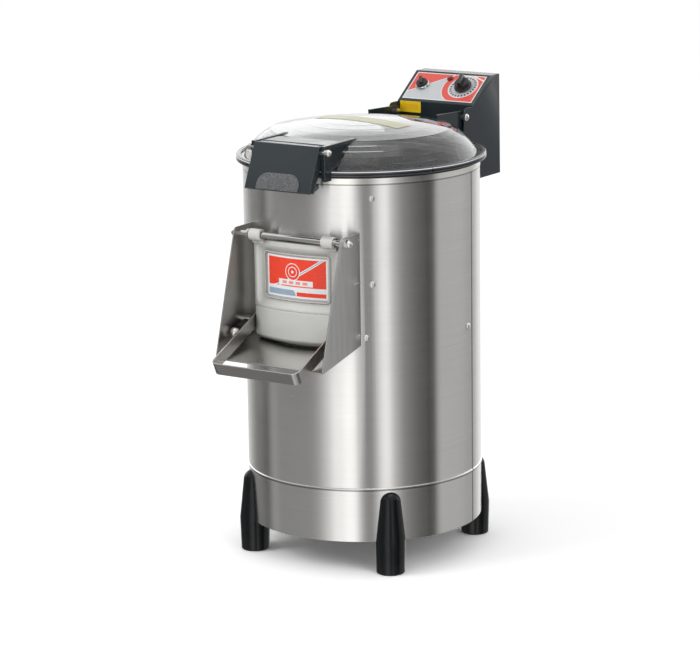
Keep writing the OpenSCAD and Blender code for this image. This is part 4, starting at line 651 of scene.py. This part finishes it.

# ---------------------------------------------------------------------------
# Lid brackets and latch: folded sheet parts in black powder coat, bolted
# through the lid's flank. The latch lever turns on a polished pin and carries
# a speckled grey thumb pad.

# Edge wear and painted highlight: 1 along a piece's outer edges, broken up by noise
wear_and_highlight, w_in, w_out = group(
    "edge_wear_and_highlight", [("Place", "Vector", None), ("Width", "Float", 0.001), ("Amount", "Float", 0.5)], [("Wear and highlight", "Float")]
)
rounded = node(wear_and_highlight, "Bevel", samples=6)
link(wear_and_highlight, w_in.outputs["Width"], rounded.inputs["Radius"])
facing = node(wear_and_highlight, "NewGeometry")
against = node(wear_and_highlight, "VectorMath", operation="DOT_PRODUCT")
link(wear_and_highlight, rounded.outputs[0], against.inputs[0])
link(wear_and_highlight, facing.outputs["Normal"], against.inputs[1])
edge = fade(wear_and_highlight, against.outputs["Value"], 0.999, 0.9)
chips = texture(wear_and_highlight, "Noise", w_in.outputs["Place"], Scale=160.0, Detail=4.0)
broken = fade(wear_and_highlight, chips.outputs[0], 0.35, 0.65)
worn_and_lit = maths(wear_and_highlight, "MULTIPLY", edge, maths(wear_and_highlight, "MULTIPLY_ADD", broken, 0.7, 0.3))
link(wear_and_highlight, maths(wear_and_highlight, "MULTIPLY", worn_and_lit, w_in.outputs["Amount"], clamp=True), w_out.inputs["Wear and highlight"])


def powder_coat(name, colour, edge_colour, roughness=0.2, amount=0.8):
    """Fine-grained enamel with paler edges, partly rubbed wear and partly painted highlight."""
    material, tree, bsdf, place = finish(name, colour, roughness)
    rub_and_highlight = place_group(tree, wear_and_highlight, place, Width=0.0012, Amount=amount)
    cloud = place_group(tree, smudge, place, Size=14.0, Amount=0.3)
    toned = tinted(tree, colour, cloud.outputs["Mark"], 0.7)
    link(tree, blend_colours(tree, rub_and_highlight.outputs["Wear and highlight"], toned, edge_colour), bsdf.inputs["Base Color"])
    link(tree, maths(tree, "ADD", cloud.outputs["Mark"], roughness, clamp=True), bsdf.inputs["Roughness"])
    embossed(tree, bsdf, texture(tree, "Noise", place, Scale=900.0, Detail=2.0).outputs[0], 0.0003, 0.12)
    return material


def eased_copy(name, new_name, offset, material, body, shortest=0.004):
    """A copy of a CAD node with its long sharp edges eased."""
    bm = bmesh.new()
    bm.from_mesh(nodes[name].data)
    bmesh.ops.remove_doubles(bm, verts=bm.verts[:], dist=2e-6)
    bmesh.ops.dissolve_limit(bm, angle_limit=math.radians(1.0), verts=bm.verts[:], edges=bm.edges[:])
    sharp = [
        e for e in bm.edges
        if len(e.link_faces) == 2 and e.calc_face_angle(0.0) > math.radians(32) and e.calc_length() > shortest
    ]
    bmesh.ops.bevel(
        bm, geom=sharp, offset=offset, segments=2, profile=0.5, affect="EDGES", clamp_overlap=False, material=-1
    )
    return add_piece(new_name, bm, material, body, [name], sharp=24.0)


enamel = powder_coat("black_enamel", (0.019, 0.027, 0.032), (0.2, 0.215, 0.225))
eased_copy("hinge_bracket", "lid_hinge_bracket", 0.0005, enamel, "lid")
eased_copy("latch_bracket", "lid_latch_bracket", 0.0005, enamel, "lid")
eased_copy("latch_lever", "lid_latch_lever", 0.0007, enamel, "latch")
coat(polished, "hinge_pins", "bracket_bolts", "latch_pin")

# The thumb pad lies on the lever's leaning face, over its lower edge
LEVER_TOE = Matrix.Translation((0.0, -0.2651, 0.6848))
LEVER_LEAN = math.radians(-23.74)


def ease(bm, edges, offset, segments=2):
    """Rounds these edges."""
    bmesh.ops.bevel(bm, geom=edges, offset=offset, segments=segments, profile=0.5, affect="EDGES", material=-1)


# A rounded plate with its foot cut off level with the lever's edge
bm = bmesh.new()
stacked(bm, [(0.0435, -0.03, 0.031, depth, 0.0215) for depth in (0.0002, 0.0021)], steps=8)
bmesh.ops.bisect_plane(
    bm, geom=bm.verts[:] + bm.edges[:] + bm.faces[:], plane_co=(0, 0.001, 0), plane_no=(0, -1, 0), clear_outer=True
)
bmesh.ops.holes_fill(bm, edges=[e for e in bm.edges if e.is_boundary], sides=0)
ease(bm, [e for e in bm.edges if e.calc_face_angle(0.0) > 0.8 and e.verts[0].co.z > 0.001], 0.0008)
bmesh.ops.transform(bm, matrix=LEVER_TOE @ Matrix.Rotation(math.pi / 2 + LEVER_LEAN, 4, "X"), verts=bm.verts)
pad_plastic, tree, bsdf, place = finish("thumb_pad_plastic", (0.12, 0.125, 0.13), 0.55)
specks = texture(tree, "Voronoi", place, Scale=650.0)
speckled = ramp(
    tree, specks.outputs["Color"],
    [(0.0, (0.05, 0.055, 0.06)), (0.5, (0.12, 0.125, 0.13)), (0.85, (0.17, 0.175, 0.18)), (1.0, (0.4, 0.4, 0.4))],
)
link(tree, speckled, bsdf.inputs["Base Color"])
embossed(tree, bsdf, specks.outputs["Distance"], 0.0006, 0.6)
add_piece("latch_thumb_pad", bm, pad_plastic, "latch", ["thumb_pad"])

# ---------------------------------------------------------------------------
# Discharge door: one sand-cast aluminium casting, with a recessed panel over a
# stout lower band and two hinge bushes at the top. A printed film label fills
# the panel, and a rubber gasket lines the back.

# Depths are distances from the drum's axis: the door is made flat, cut into
# strips and bent round the drum.
DOOR_LOW, BAND_TOP, DOOR_TOP = 0.411, 0.4675, 0.5885
DOOR_FACE, BAND_FACE = 0.2262, 0.228
HINGE_ROD = (-0.2232, 0.5963)
BUSH_X, BUSH_SHIFT = 0.075, 0.0018
BUSH_BLOCK, BUSH_BLOCK_YZ = (0.0236, 0.0145, 0.0135), (-0.2125, 0.5872)


def bend(bm):
    """Bends flat work, whose Z is its distance from the drum's axis, round the drum."""
    for v in bm.verts:
        x, height, depth = v.co
        v.co = (x, -math.sqrt(depth * depth - x * x), height)


def loop_at(bm, depth):
    """Sharp edges whose two ends lie at a depth."""
    level = [e for e in bm.edges if all(abs(v.co.z - depth) < 1e-6 for v in e.verts)]
    return [e for e in level if e.calc_face_angle(0.0) > 0.2]


# The back plate, and on it a raised frame round a recess with a low lip
door = bmesh.new()
stacked(door, [(0.0868, DOOR_LOW, 0.478, depth, 0.003) for depth in (0.2133, 0.2205)])
upper = bmesh.new()
stacked(upper, [
    (0.0905, 0.4800, DOOR_TOP, 0.2133, 0.004),
    (0.0905, 0.4660, DOOR_TOP, DOOR_FACE, 0.004),
    (0.0835, 0.4715, 0.5790, DOOR_FACE, 0.012),
    (0.0765, 0.4800, 0.5725, 0.2188, 0.010),
    (0.0700, 0.4832, 0.5698, 0.2172, 0.008),
    (0.0676, 0.4852, 0.5674, 0.2194, 0.007),
    (0.0662, 0.4865, 0.5660, 0.2194, 0.006),
    (0.0645, 0.4882, 0.5643, 0.2155, 0.005),
])
ease(upper, loop_at(upper, DOOR_FACE), 0.0022, 3)
take_in(door, upper)
# The lower band stands proud, and a slanting foot runs along under it
lower = bmesh.new()
stacked(lower, [
    (0.087, DOOR_LOW, BAND_TOP, 0.2135, 0.003),
    (0.087, DOOR_LOW, BAND_TOP, 0.2218, 0.003),
    (0.087, DOOR_LOW + 0.0012, BAND_TOP, 0.2232, 0.003),
    (0.087, DOOR_LOW + 0.0068, BAND_TOP, BAND_FACE, 0.003),
])
ease(lower, loop_at(lower, BAND_FACE), 0.0016, 3)
take_in(door, lower)
# A shallow pan at the back reaches into the shell's opening
pan = bmesh.new()
stacked(pan, [(0.071, 0.427, 0.563, depth, 0.004) for depth in (0.209, 0.2135)])
take_in(door, pan)
slice_across(door, 0.006, 0.09)
bend(door)
# The bushes' section round the rod, as (radius, place along it)
BUSH = [(0.0051, -0.0108), (0.0062, -0.012), (0.0086, -0.012), (0.01, -0.0106), (0.01, 0.0106),
        (0.0086, 0.012), (0.0062, 0.012), (0.0051, 0.0108), (0.0051, -0.0108)]
for side in (-1, 1):
    along_x = Matrix.Rotation(math.pi / 2, 4, "Y")
    centre = side * BUSH_X + BUSH_SHIFT
    take_in(door, spun(BUSH, 40), Matrix.Translation((centre, *HINGE_ROD)) @ along_x)
    take_in(door, block(BUSH_BLOCK, 0.0018), Matrix.Translation((centre, *BUSH_BLOCK_YZ)))

CAST_GREY = (0.8, 0.805, 0.77)
cast_metal, tree, bsdf, place = finish("cast_aluminium", CAST_GREY, 0.42, 0.3)
sand = texture(tree, "Noise", place, Scale=1300.0, Detail=3.0, Roughness=0.7)
cloud = place_group(tree, smudge, place, Size=22.0, Amount=0.4)
rub_and_highlight = place_group(tree, wear_and_highlight, place, Width=0.0022, Amount=0.9)
toned = tinted(tree, CAST_GREY, cloud.outputs["Mark"], 0.35)
toned = tinted(tree, toned, maths(tree, "SUBTRACT", sand.outputs[0], 0.5), 0.25)
crease = node(tree, "AmbientOcclusion", samples=8)
crease.inputs["Distance"].default_value = 0.018
shade = fade(tree, crease.outputs["AO"], 0.4, 0.97, 1.0, 0.0)
# Corners and creases get painted shade from ambient occlusion, and edges are painted pale, partly rubbed wear and
# partly painted highlight
toned = layered(tree, toned, [(shade, (0.16, 0.155, 0.14)), (rub_and_highlight.outputs["Wear and highlight"], (0.95, 0.95, 0.91))])
link(tree, toned, bsdf.inputs["Base Color"])
link(tree, maths(tree, "ADD", cloud.outputs["Mark"], 0.42, clamp=True), bsdf.inputs["Roughness"])
embossed(tree, bsdf, sand.outputs[0], 0.0004, 0.35)
add_piece("door", door, cast_metal, "door", ["door_casting"])

label = bmesh.new()
stacked(label, [(0.0622, 0.4898, 0.5622, depth, 0.002) for depth in (0.2153, 0.2159)], middle=0.0012)
slice_across(label, 0.006, 0.065)
bend(label)
printed_film, tree, bsdf, place = finish("printed_film", (0.8, 0.8, 0.8), 0.25)
across, _, height = axes(tree, place)
WHITE, RED, PALE_RED, SLATE = (0.97, 0.97, 0.98), (1.0, 0.07, 0.03), (1.0, 0.35, 0.3), (0.36, 0.48, 0.6)
EMBLEM = (-0.004, 0.5355)


def between(tree, value, low, high):
    """1 where the value lies between low and high."""
    return maths(tree, "MULTIPLY", maths(tree, "GREATER_THAN", value, low), maths(tree, "LESS_THAN", value, high))


def area(tree, x, y, x0, x1, y0, y1):
    """1 inside a rectangle."""
    return maths(tree, "MULTIPLY", between(tree, x, x0, x1), between(tree, y, y0, y1))


def under(tree, x, y, slope, offset):
    """1 under the line y = slope * x + offset."""
    return maths(tree, "LESS_THAN", y, maths(tree, "MULTIPLY_ADD", x, slope, offset))


def disc(tree, x, y, middle, radius):
    """1 inside a circle."""
    dx = maths(tree, "SUBTRACT", x, middle[0])
    dy = maths(tree, "SUBTRACT", y, middle[1])
    square = maths(tree, "MULTIPLY_ADD", dx, dx, maths(tree, "MULTIPLY", dy, dy))
    return maths(tree, "LESS_THAN", square, radius * radius)


field = area(tree, across, height, -0.0578, 0.0602, 0.5095, 0.5588)
# A white band with a slate line in it sweeps up over the red field
rise = maths(tree, "POWER", maths(tree, "ADD", across, 0.06, clamp=True), 1.4)
curve = maths(tree, "MULTIPLY_ADD", rise, 1.15, 0.507)
swoosh = between(tree, height, maths(tree, "SUBTRACT", curve, 0.0055), curve)
stripe = between(tree, height, maths(tree, "SUBTRACT", curve, 0.0038), maths(tree, "SUBTRACT", curve, 0.0018))
inks = [(field, RED), (maths(tree, "MULTIPLY", swoosh, field), WHITE), (maths(tree, "MULTIPLY", stripe, field), SLATE)]
# A plain emblem of rings stands over a white bar with four pale fields
for radius, tone in ((0.0152, WHITE), (0.0138, RED), (0.0092, WHITE), (0.0078, RED), (0.0026, WHITE)):
    inks.append((disc(tree, across, height, EMBLEM, radius), tone))
inks.append((area(tree, across, height, -0.034, 0.036, 0.5115, 0.5215), WHITE))
for edge in (-0.026, -0.012, 0.002, 0.016):
    inks.append((area(tree, across, height, edge, edge + 0.0095, 0.514, 0.519), PALE_RED))
# Two bars run along the foot, the left one cut off at a slant
left_bar = area(tree, across, height, -0.0578, 0.002, 0.4935, 0.5035)
inks.append((maths(tree, "MULTIPLY", left_bar, under(tree, across, height, -1.6, 0.5)), SLATE))
inks.append((area(tree, across, height, 0.004, 0.0602, 0.4935, 0.5008), RED))
handled(tree, bsdf, place, layered(tree, WHITE, inks), 0.28, 30.0, 0.3, 0.3)
add_piece("door_label", label, printed_film, "door")

# ---------------------------------------------------------------------------
# Chute: two side plates and a tray folded from stainless sheet, tack-welded to
# the drum. The door's hinge rod runs through them, with acorn nuts outside and
# a black strip behind it that stands in for the shade between the rod and the door's top.

plate_steel = brushed_steel(
    "chute_steel", (0.64, 0.635, 0.62), 0.33, (900.0, 120.0, 9.0), depth=0.08, streaks=0.4, marks=0.25
)
tree, bsdf, place, base = reopened(plate_steel)
rub_and_highlight = place_group(tree, wear_and_highlight, place, Width=0.0014, Amount=0.9)
# The tray is painted lighter as painted light, and the inner faces of the plates darker as painted shade;
# edges are painted pale, partly rubbed wear and partly painted highlight
TRAY_HALF, PLATE_INNER, PLATE_MIDDLE, WELD_X = 0.1087, 0.1099, 0.111, 0.1112
aside = maths(tree, "ABSOLUTE", axes(tree, place)["X"])
inner_face_shade = maths(tree, "MULTIPLY", maths(tree, "LESS_THAN", aside, PLATE_INNER), 0.5)
tray_light = maths(tree, "LESS_THAN", aside, TRAY_HALF)
marks = [(inner_face_shade, (0.22, 0.21, 0.19)), (tray_light, (0.8, 0.8, 0.775)), (rub_and_highlight.outputs["Wear and highlight"], (0.85, 0.85, 0.83))]
link(tree, layered(tree, base, marks), bsdf.inputs["Base Color"])
eased_copy("chute", "chute_plates", 0.0004, plate_steel, "machine", shortest=0.003)

bm = bmesh.new()
# Height and length of the tack welds of each plate
TACK_WELDS = [(0.522, 0.020), (0.430, 0.009), (0.5965, 0.006)]
WELD_GREY = (0.85, 0.85, 0.83)
plate_root = -math.sqrt((DRUM_R + 0.0004) ** 2 - PLATE_MIDDLE**2)
for side in (-1, 1):
    for height, length in TACK_WELDS:
        weld_place = Matrix.Translation((side * WELD_X, plate_root - length / 2 + 0.002, height))
        take_in(bm, block((0.0012, length, 0.0016), 0.0004), weld_place)
tack_weld, tree, bsdf, place = finish("tack_weld", WELD_GREY, 0.3, 1.0)
ripple = texture(tree, "Noise", place, Scale=700.0, Detail=3.0)
rippled = tinted(tree, WELD_GREY, maths(tree, "SUBTRACT", ripple.outputs[0], 0.5), 0.6)
link(tree, rippled, bsdf.inputs["Base Color"])
embossed(tree, bsdf, ripple.outputs[0], 0.0005)
add_piece("chute_tack_welds", bm, tack_weld, "machine")

# A black strip behind the hinge rod: painted shade in the dark gap over the door's top
strip = bmesh.new()
stacked(strip, [(0.0605, 0.5805, 0.5925, depth, 0.002) for depth in (0.2104, 0.2128)])
slice_across(strip, 0.006, 0.062)
bend(strip)
add_piece("door_rain_strip", strip, black_rubber, "machine")

coat(polished, "hinge_rod")
eased_copy("chute_fixings", "chute_nuts", 0.0003, polished, "machine", shortest=0.002)

# ---------------------------------------------------------------------------
# Bail: one flat stainless bar bent to a U, turning on pins in the door's sides.
# Its edges are painted bright, partly rubbed wear and partly painted highlight.

bail_steel = brushed_steel(
    "bail_steel", (0.5, 0.49, 0.47), 0.3, (12.0, 700.0, 700.0), depth=0.1, streaks=0.5, marks=0.35
)
tree, bsdf, place, base = reopened(bail_steel)
rub_and_highlight = place_group(tree, wear_and_highlight, place, Width=0.0016, Amount=1.0)
link(tree, blend_colours(tree, rub_and_highlight.outputs["Wear and highlight"], base, (0.92, 0.91, 0.88)), bsdf.inputs["Base Color"])
eased_copy("bail", "door_bail", 0.0006, bail_steel, "bail_handle", shortest=0.0006)
coat(polished, "bail_pins")

# ---------------------------------------------------------------------------
# Lock lever: a steel arm with a black plastic grip and a polished ball, on a
# bolt through the left side plate.

grip_plastic = plain("grip_plastic", (0.012, 0.013, 0.014), 0.35, 50.0, 0.5, 1.5)
coat(polished, "lock_lever", "lever_ball")
coat(grip_plastic, "lever_grip")

# ---------------------------------------------------------------------------
# Control box: folded from black powder-coated sheet, open at the back under a
# screwed cover, and bolted behind the drum. Its ears carry the lid's hinge. A
# plain yellow plate sits under the panel.

eased_copy("box_shell", "control_box", 0.0006, enamel, "machine")
eased_copy("box_back_cover", "control_box_cover", 0.0005, enamel, "machine")
coat(polished, "box_fixings")
coat(grip_plastic, "cable_gland", "contactor")

plate = bmesh.new()
stacked(plate, [(0.0225, 0.7485, 0.769, depth, 0.0015) for depth in (0.0, 0.0006)], middle=-0.0533)
front = [e for e in plate.edges if all(v.co.z > 0.0005 for v in e.verts)]
ease(plate, [e for e in front if e.calc_face_angle(0.0) > 0.5], 0.0002, 1)
on_box = Matrix.Translation((0, 0.2514, 0)) @ Matrix.Rotation(math.pi / 2, 4, "X")
bmesh.ops.transform(plate, matrix=on_box, verts=plate.verts)
yellow_film, tree, bsdf, place = finish("yellow_plate", (0.95, 0.55, 0.02), 0.3)
across, _, height = axes(tree, place)
inner = area(tree, across, height, -0.0705, -0.0361, 0.7535, 0.764)
toned = blend_colours(tree, maths(tree, "MULTIPLY", inner, 0.45), (1.0, 0.7, 0.02), (1.0, 0.4, 0.01))
handled(tree, bsdf, place, toned, 0.3, 60.0, 0.4, 0.4)
add_piece("yellow_plate", plate, yellow_film, "machine")

# ---------------------------------------------------------------------------
# Controls: a printed silver plate on the sloping panel, with a timer knob over
# a ticked dial, a selector in a chromed ring, and a red lamp.

PANEL_FOOT = (0.0, 0.2515, 0.770)
PANEL_LEAN = math.atan2(47.0, 67.0)
PANEL = Matrix.Translation(PANEL_FOOT) @ Matrix.Rotation(PANEL_LEAN, 4, "X")
SILVER, LINE, PRINT_RED, TICK_BLACK = (0.6, 0.62, 0.645), (0.88, 0.88, 0.88), (0.8, 0.1, 0.08), (0.02, 0.02, 0.02)
DIAL = (0.038, 0.045)
DIAL_TICKS = 24

panel_print, tree, bsdf, place = finish("panel_print", (0.62, 0.64, 0.66), 0.32, 0.0)
flat = node(tree, "Mapping", vector_type="TEXTURE")
flat.inputs["Location"].default_value = PANEL_FOOT
flat.inputs["Rotation"].default_value = (PANEL_LEAN, 0.0, 0.0)
link(tree, place, flat.inputs["Vector"])
px, py, _ = axes(tree, flat.outputs[0])


def over(tree, x, y, slope, offset):
    """1 over the line y = slope * x + offset."""
    return maths(tree, "SUBTRACT", 1.0, under(tree, x, y, slope, offset))


# A red wedge at the left and a red field with a round end at the right, both
# edged with a pale line, and a pale gap across the field's corner
field_line = maths(tree, "MAXIMUM", disc(tree, px, py, DIAL, 0.0428), maths(tree, "GREATER_THAN", px, 0.0387))
field = maths(tree, "MAXIMUM", disc(tree, px, py, DIAL, 0.0415), maths(tree, "GREATER_THAN", px, 0.040))
gap = maths(tree, "MULTIPLY", over(tree, px, py, -0.42, 0.0935), under(tree, px, py, -0.42, 0.0965))
# The dial's ticks stand in a ring
around = maths(tree, "ARCTAN2", maths(tree, "SUBTRACT", py, DIAL[1]), maths(tree, "SUBTRACT", px, DIAL[0]))
beat = maths(tree, "FRACT", maths(tree, "MULTIPLY", around, DIAL_TICKS / math.tau))
ring = maths(tree, "SUBTRACT", disc(tree, px, py, DIAL, 0.0262), disc(tree, px, py, DIAL, 0.0222))
ticks = maths(tree, "MULTIPLY", maths(tree, "LESS_THAN", beat, 0.45), ring)
inks = [
    (over(tree, px, py, 0.62, 0.0690), LINE),
    (over(tree, px, py, 0.62, 0.0705), PRINT_RED),
    (field_line, LINE),
    (field, PRINT_RED),
    (gap, LINE),
    (disc(tree, px, py, DIAL, 0.0295), LINE),
    (disc(tree, px, py, DIAL, 0.0278), SILVER),
    (ticks, TICK_BLACK),
]
inside = area(tree, px, py, -0.0722, 0.0722, 0.0073, 0.0747)
toned = blend_colours(tree, inside, LINE, layered(tree, SILVER, inks))
handled(tree, bsdf, place, toned, 0.33, 25.0, 0.3, 0.35)
coat(panel_print, "panel_overlay")


def knob(base, grip_size, lift, narrow, turn):
    """A turned base with a tapered grip bar across it."""
    part = spun(base, 64)
    grip = block(grip_size, 0.0013)
    for v in grip.verts:
        rise = v.co.z / grip_size[2] + 0.5
        v.co.x *= 1.0 - narrow[0] * rise
        v.co.y *= 1.0 - narrow[1] * rise
    take_in(part, grip, Matrix.Translation((0, 0, lift)) @ Matrix.Rotation(math.radians(turn), 4, "Z"))
    return part


TIMER_X, TIMER_Y, TIMER_TURN = 0.040, 0.043, 14
SELECTOR_X, SELECTOR_Y, SELECTOR_TURN = -0.047, 0.042, 28
knob_plastic = plain("knob_plastic", (0.014, 0.015, 0.016), 0.3, 60.0, 0.4, 1.2)
bm = bmesh.new()
base = [(0, 0), (0.0155, 0), (0.0165, 0.001), (0.0165, 0.0036), (0.0157, 0.0044), (0.0148, 0.0046),
        (0.0138, 0.0112), (0.0128, 0.0121), (0, 0.0123)]
timer = knob(base, (0.0092, 0.031, 0.0168), 0.0122, (0.3, 0.14), TIMER_TURN)
take_in(bm, timer, PANEL @ Matrix.Translation((TIMER_X, TIMER_Y, 0.0035)))
add_piece("timer_dial_knob", bm, knob_plastic, "timer_dial", ["timer_knob"])

chrome = plain("chromed_ring", (0.86, 0.87, 0.88), 0.1, 70.0, 0.2, -0.5, 1.0)
bm = bmesh.new()
ring = [(0.0075, 0.0002), (0.0138, 0.0002), (0.014, 0.0006), (0.0138, 0.0018), (0.0126, 0.0046), (0.0118, 0.0053),
        (0.0112, 0.005), (0.0108, 0.0036), (0.0075, 0.0036), (0.0075, 0.0002)]
take_in(bm, spun(ring, 56), PANEL @ Matrix.Translation((SELECTOR_X, SELECTOR_Y, 0.0006)))
add_piece("selector_ring", bm, chrome, "machine", ["selector_unit"])

bm = bmesh.new()
base = [(0, 0), (0.0105, 0), (0.011, 0.0005), (0.0108, 0.0036), (0.01, 0.0044), (0, 0.0046)]
selector = knob(base, (0.0072, 0.0205, 0.0105), 0.0062, (0.25, 0.0), SELECTOR_TURN)
take_in(bm, selector, PANEL @ Matrix.Translation((SELECTOR_X, SELECTOR_Y, 0.0056)))
add_piece("selector_blade", bm, knob_plastic, "selector_switch", ["selector_knob"])

coat(grip_plastic, "timer_unit")
LENS_RED = (0.3, 0.008, 0.008)
lens_red, tree, bsdf, place = finish("lamp_lens", LENS_RED, 0.12, 0.0, Coat_Weight=0.5)
cells = texture(tree, "Voronoi", place, Scale=700.0)
link(tree, tinted(tree, LENS_RED, cells.outputs["Distance"], -0.8), bsdf.inputs["Base Color"])
coat(lens_red, "indicator_lamp")
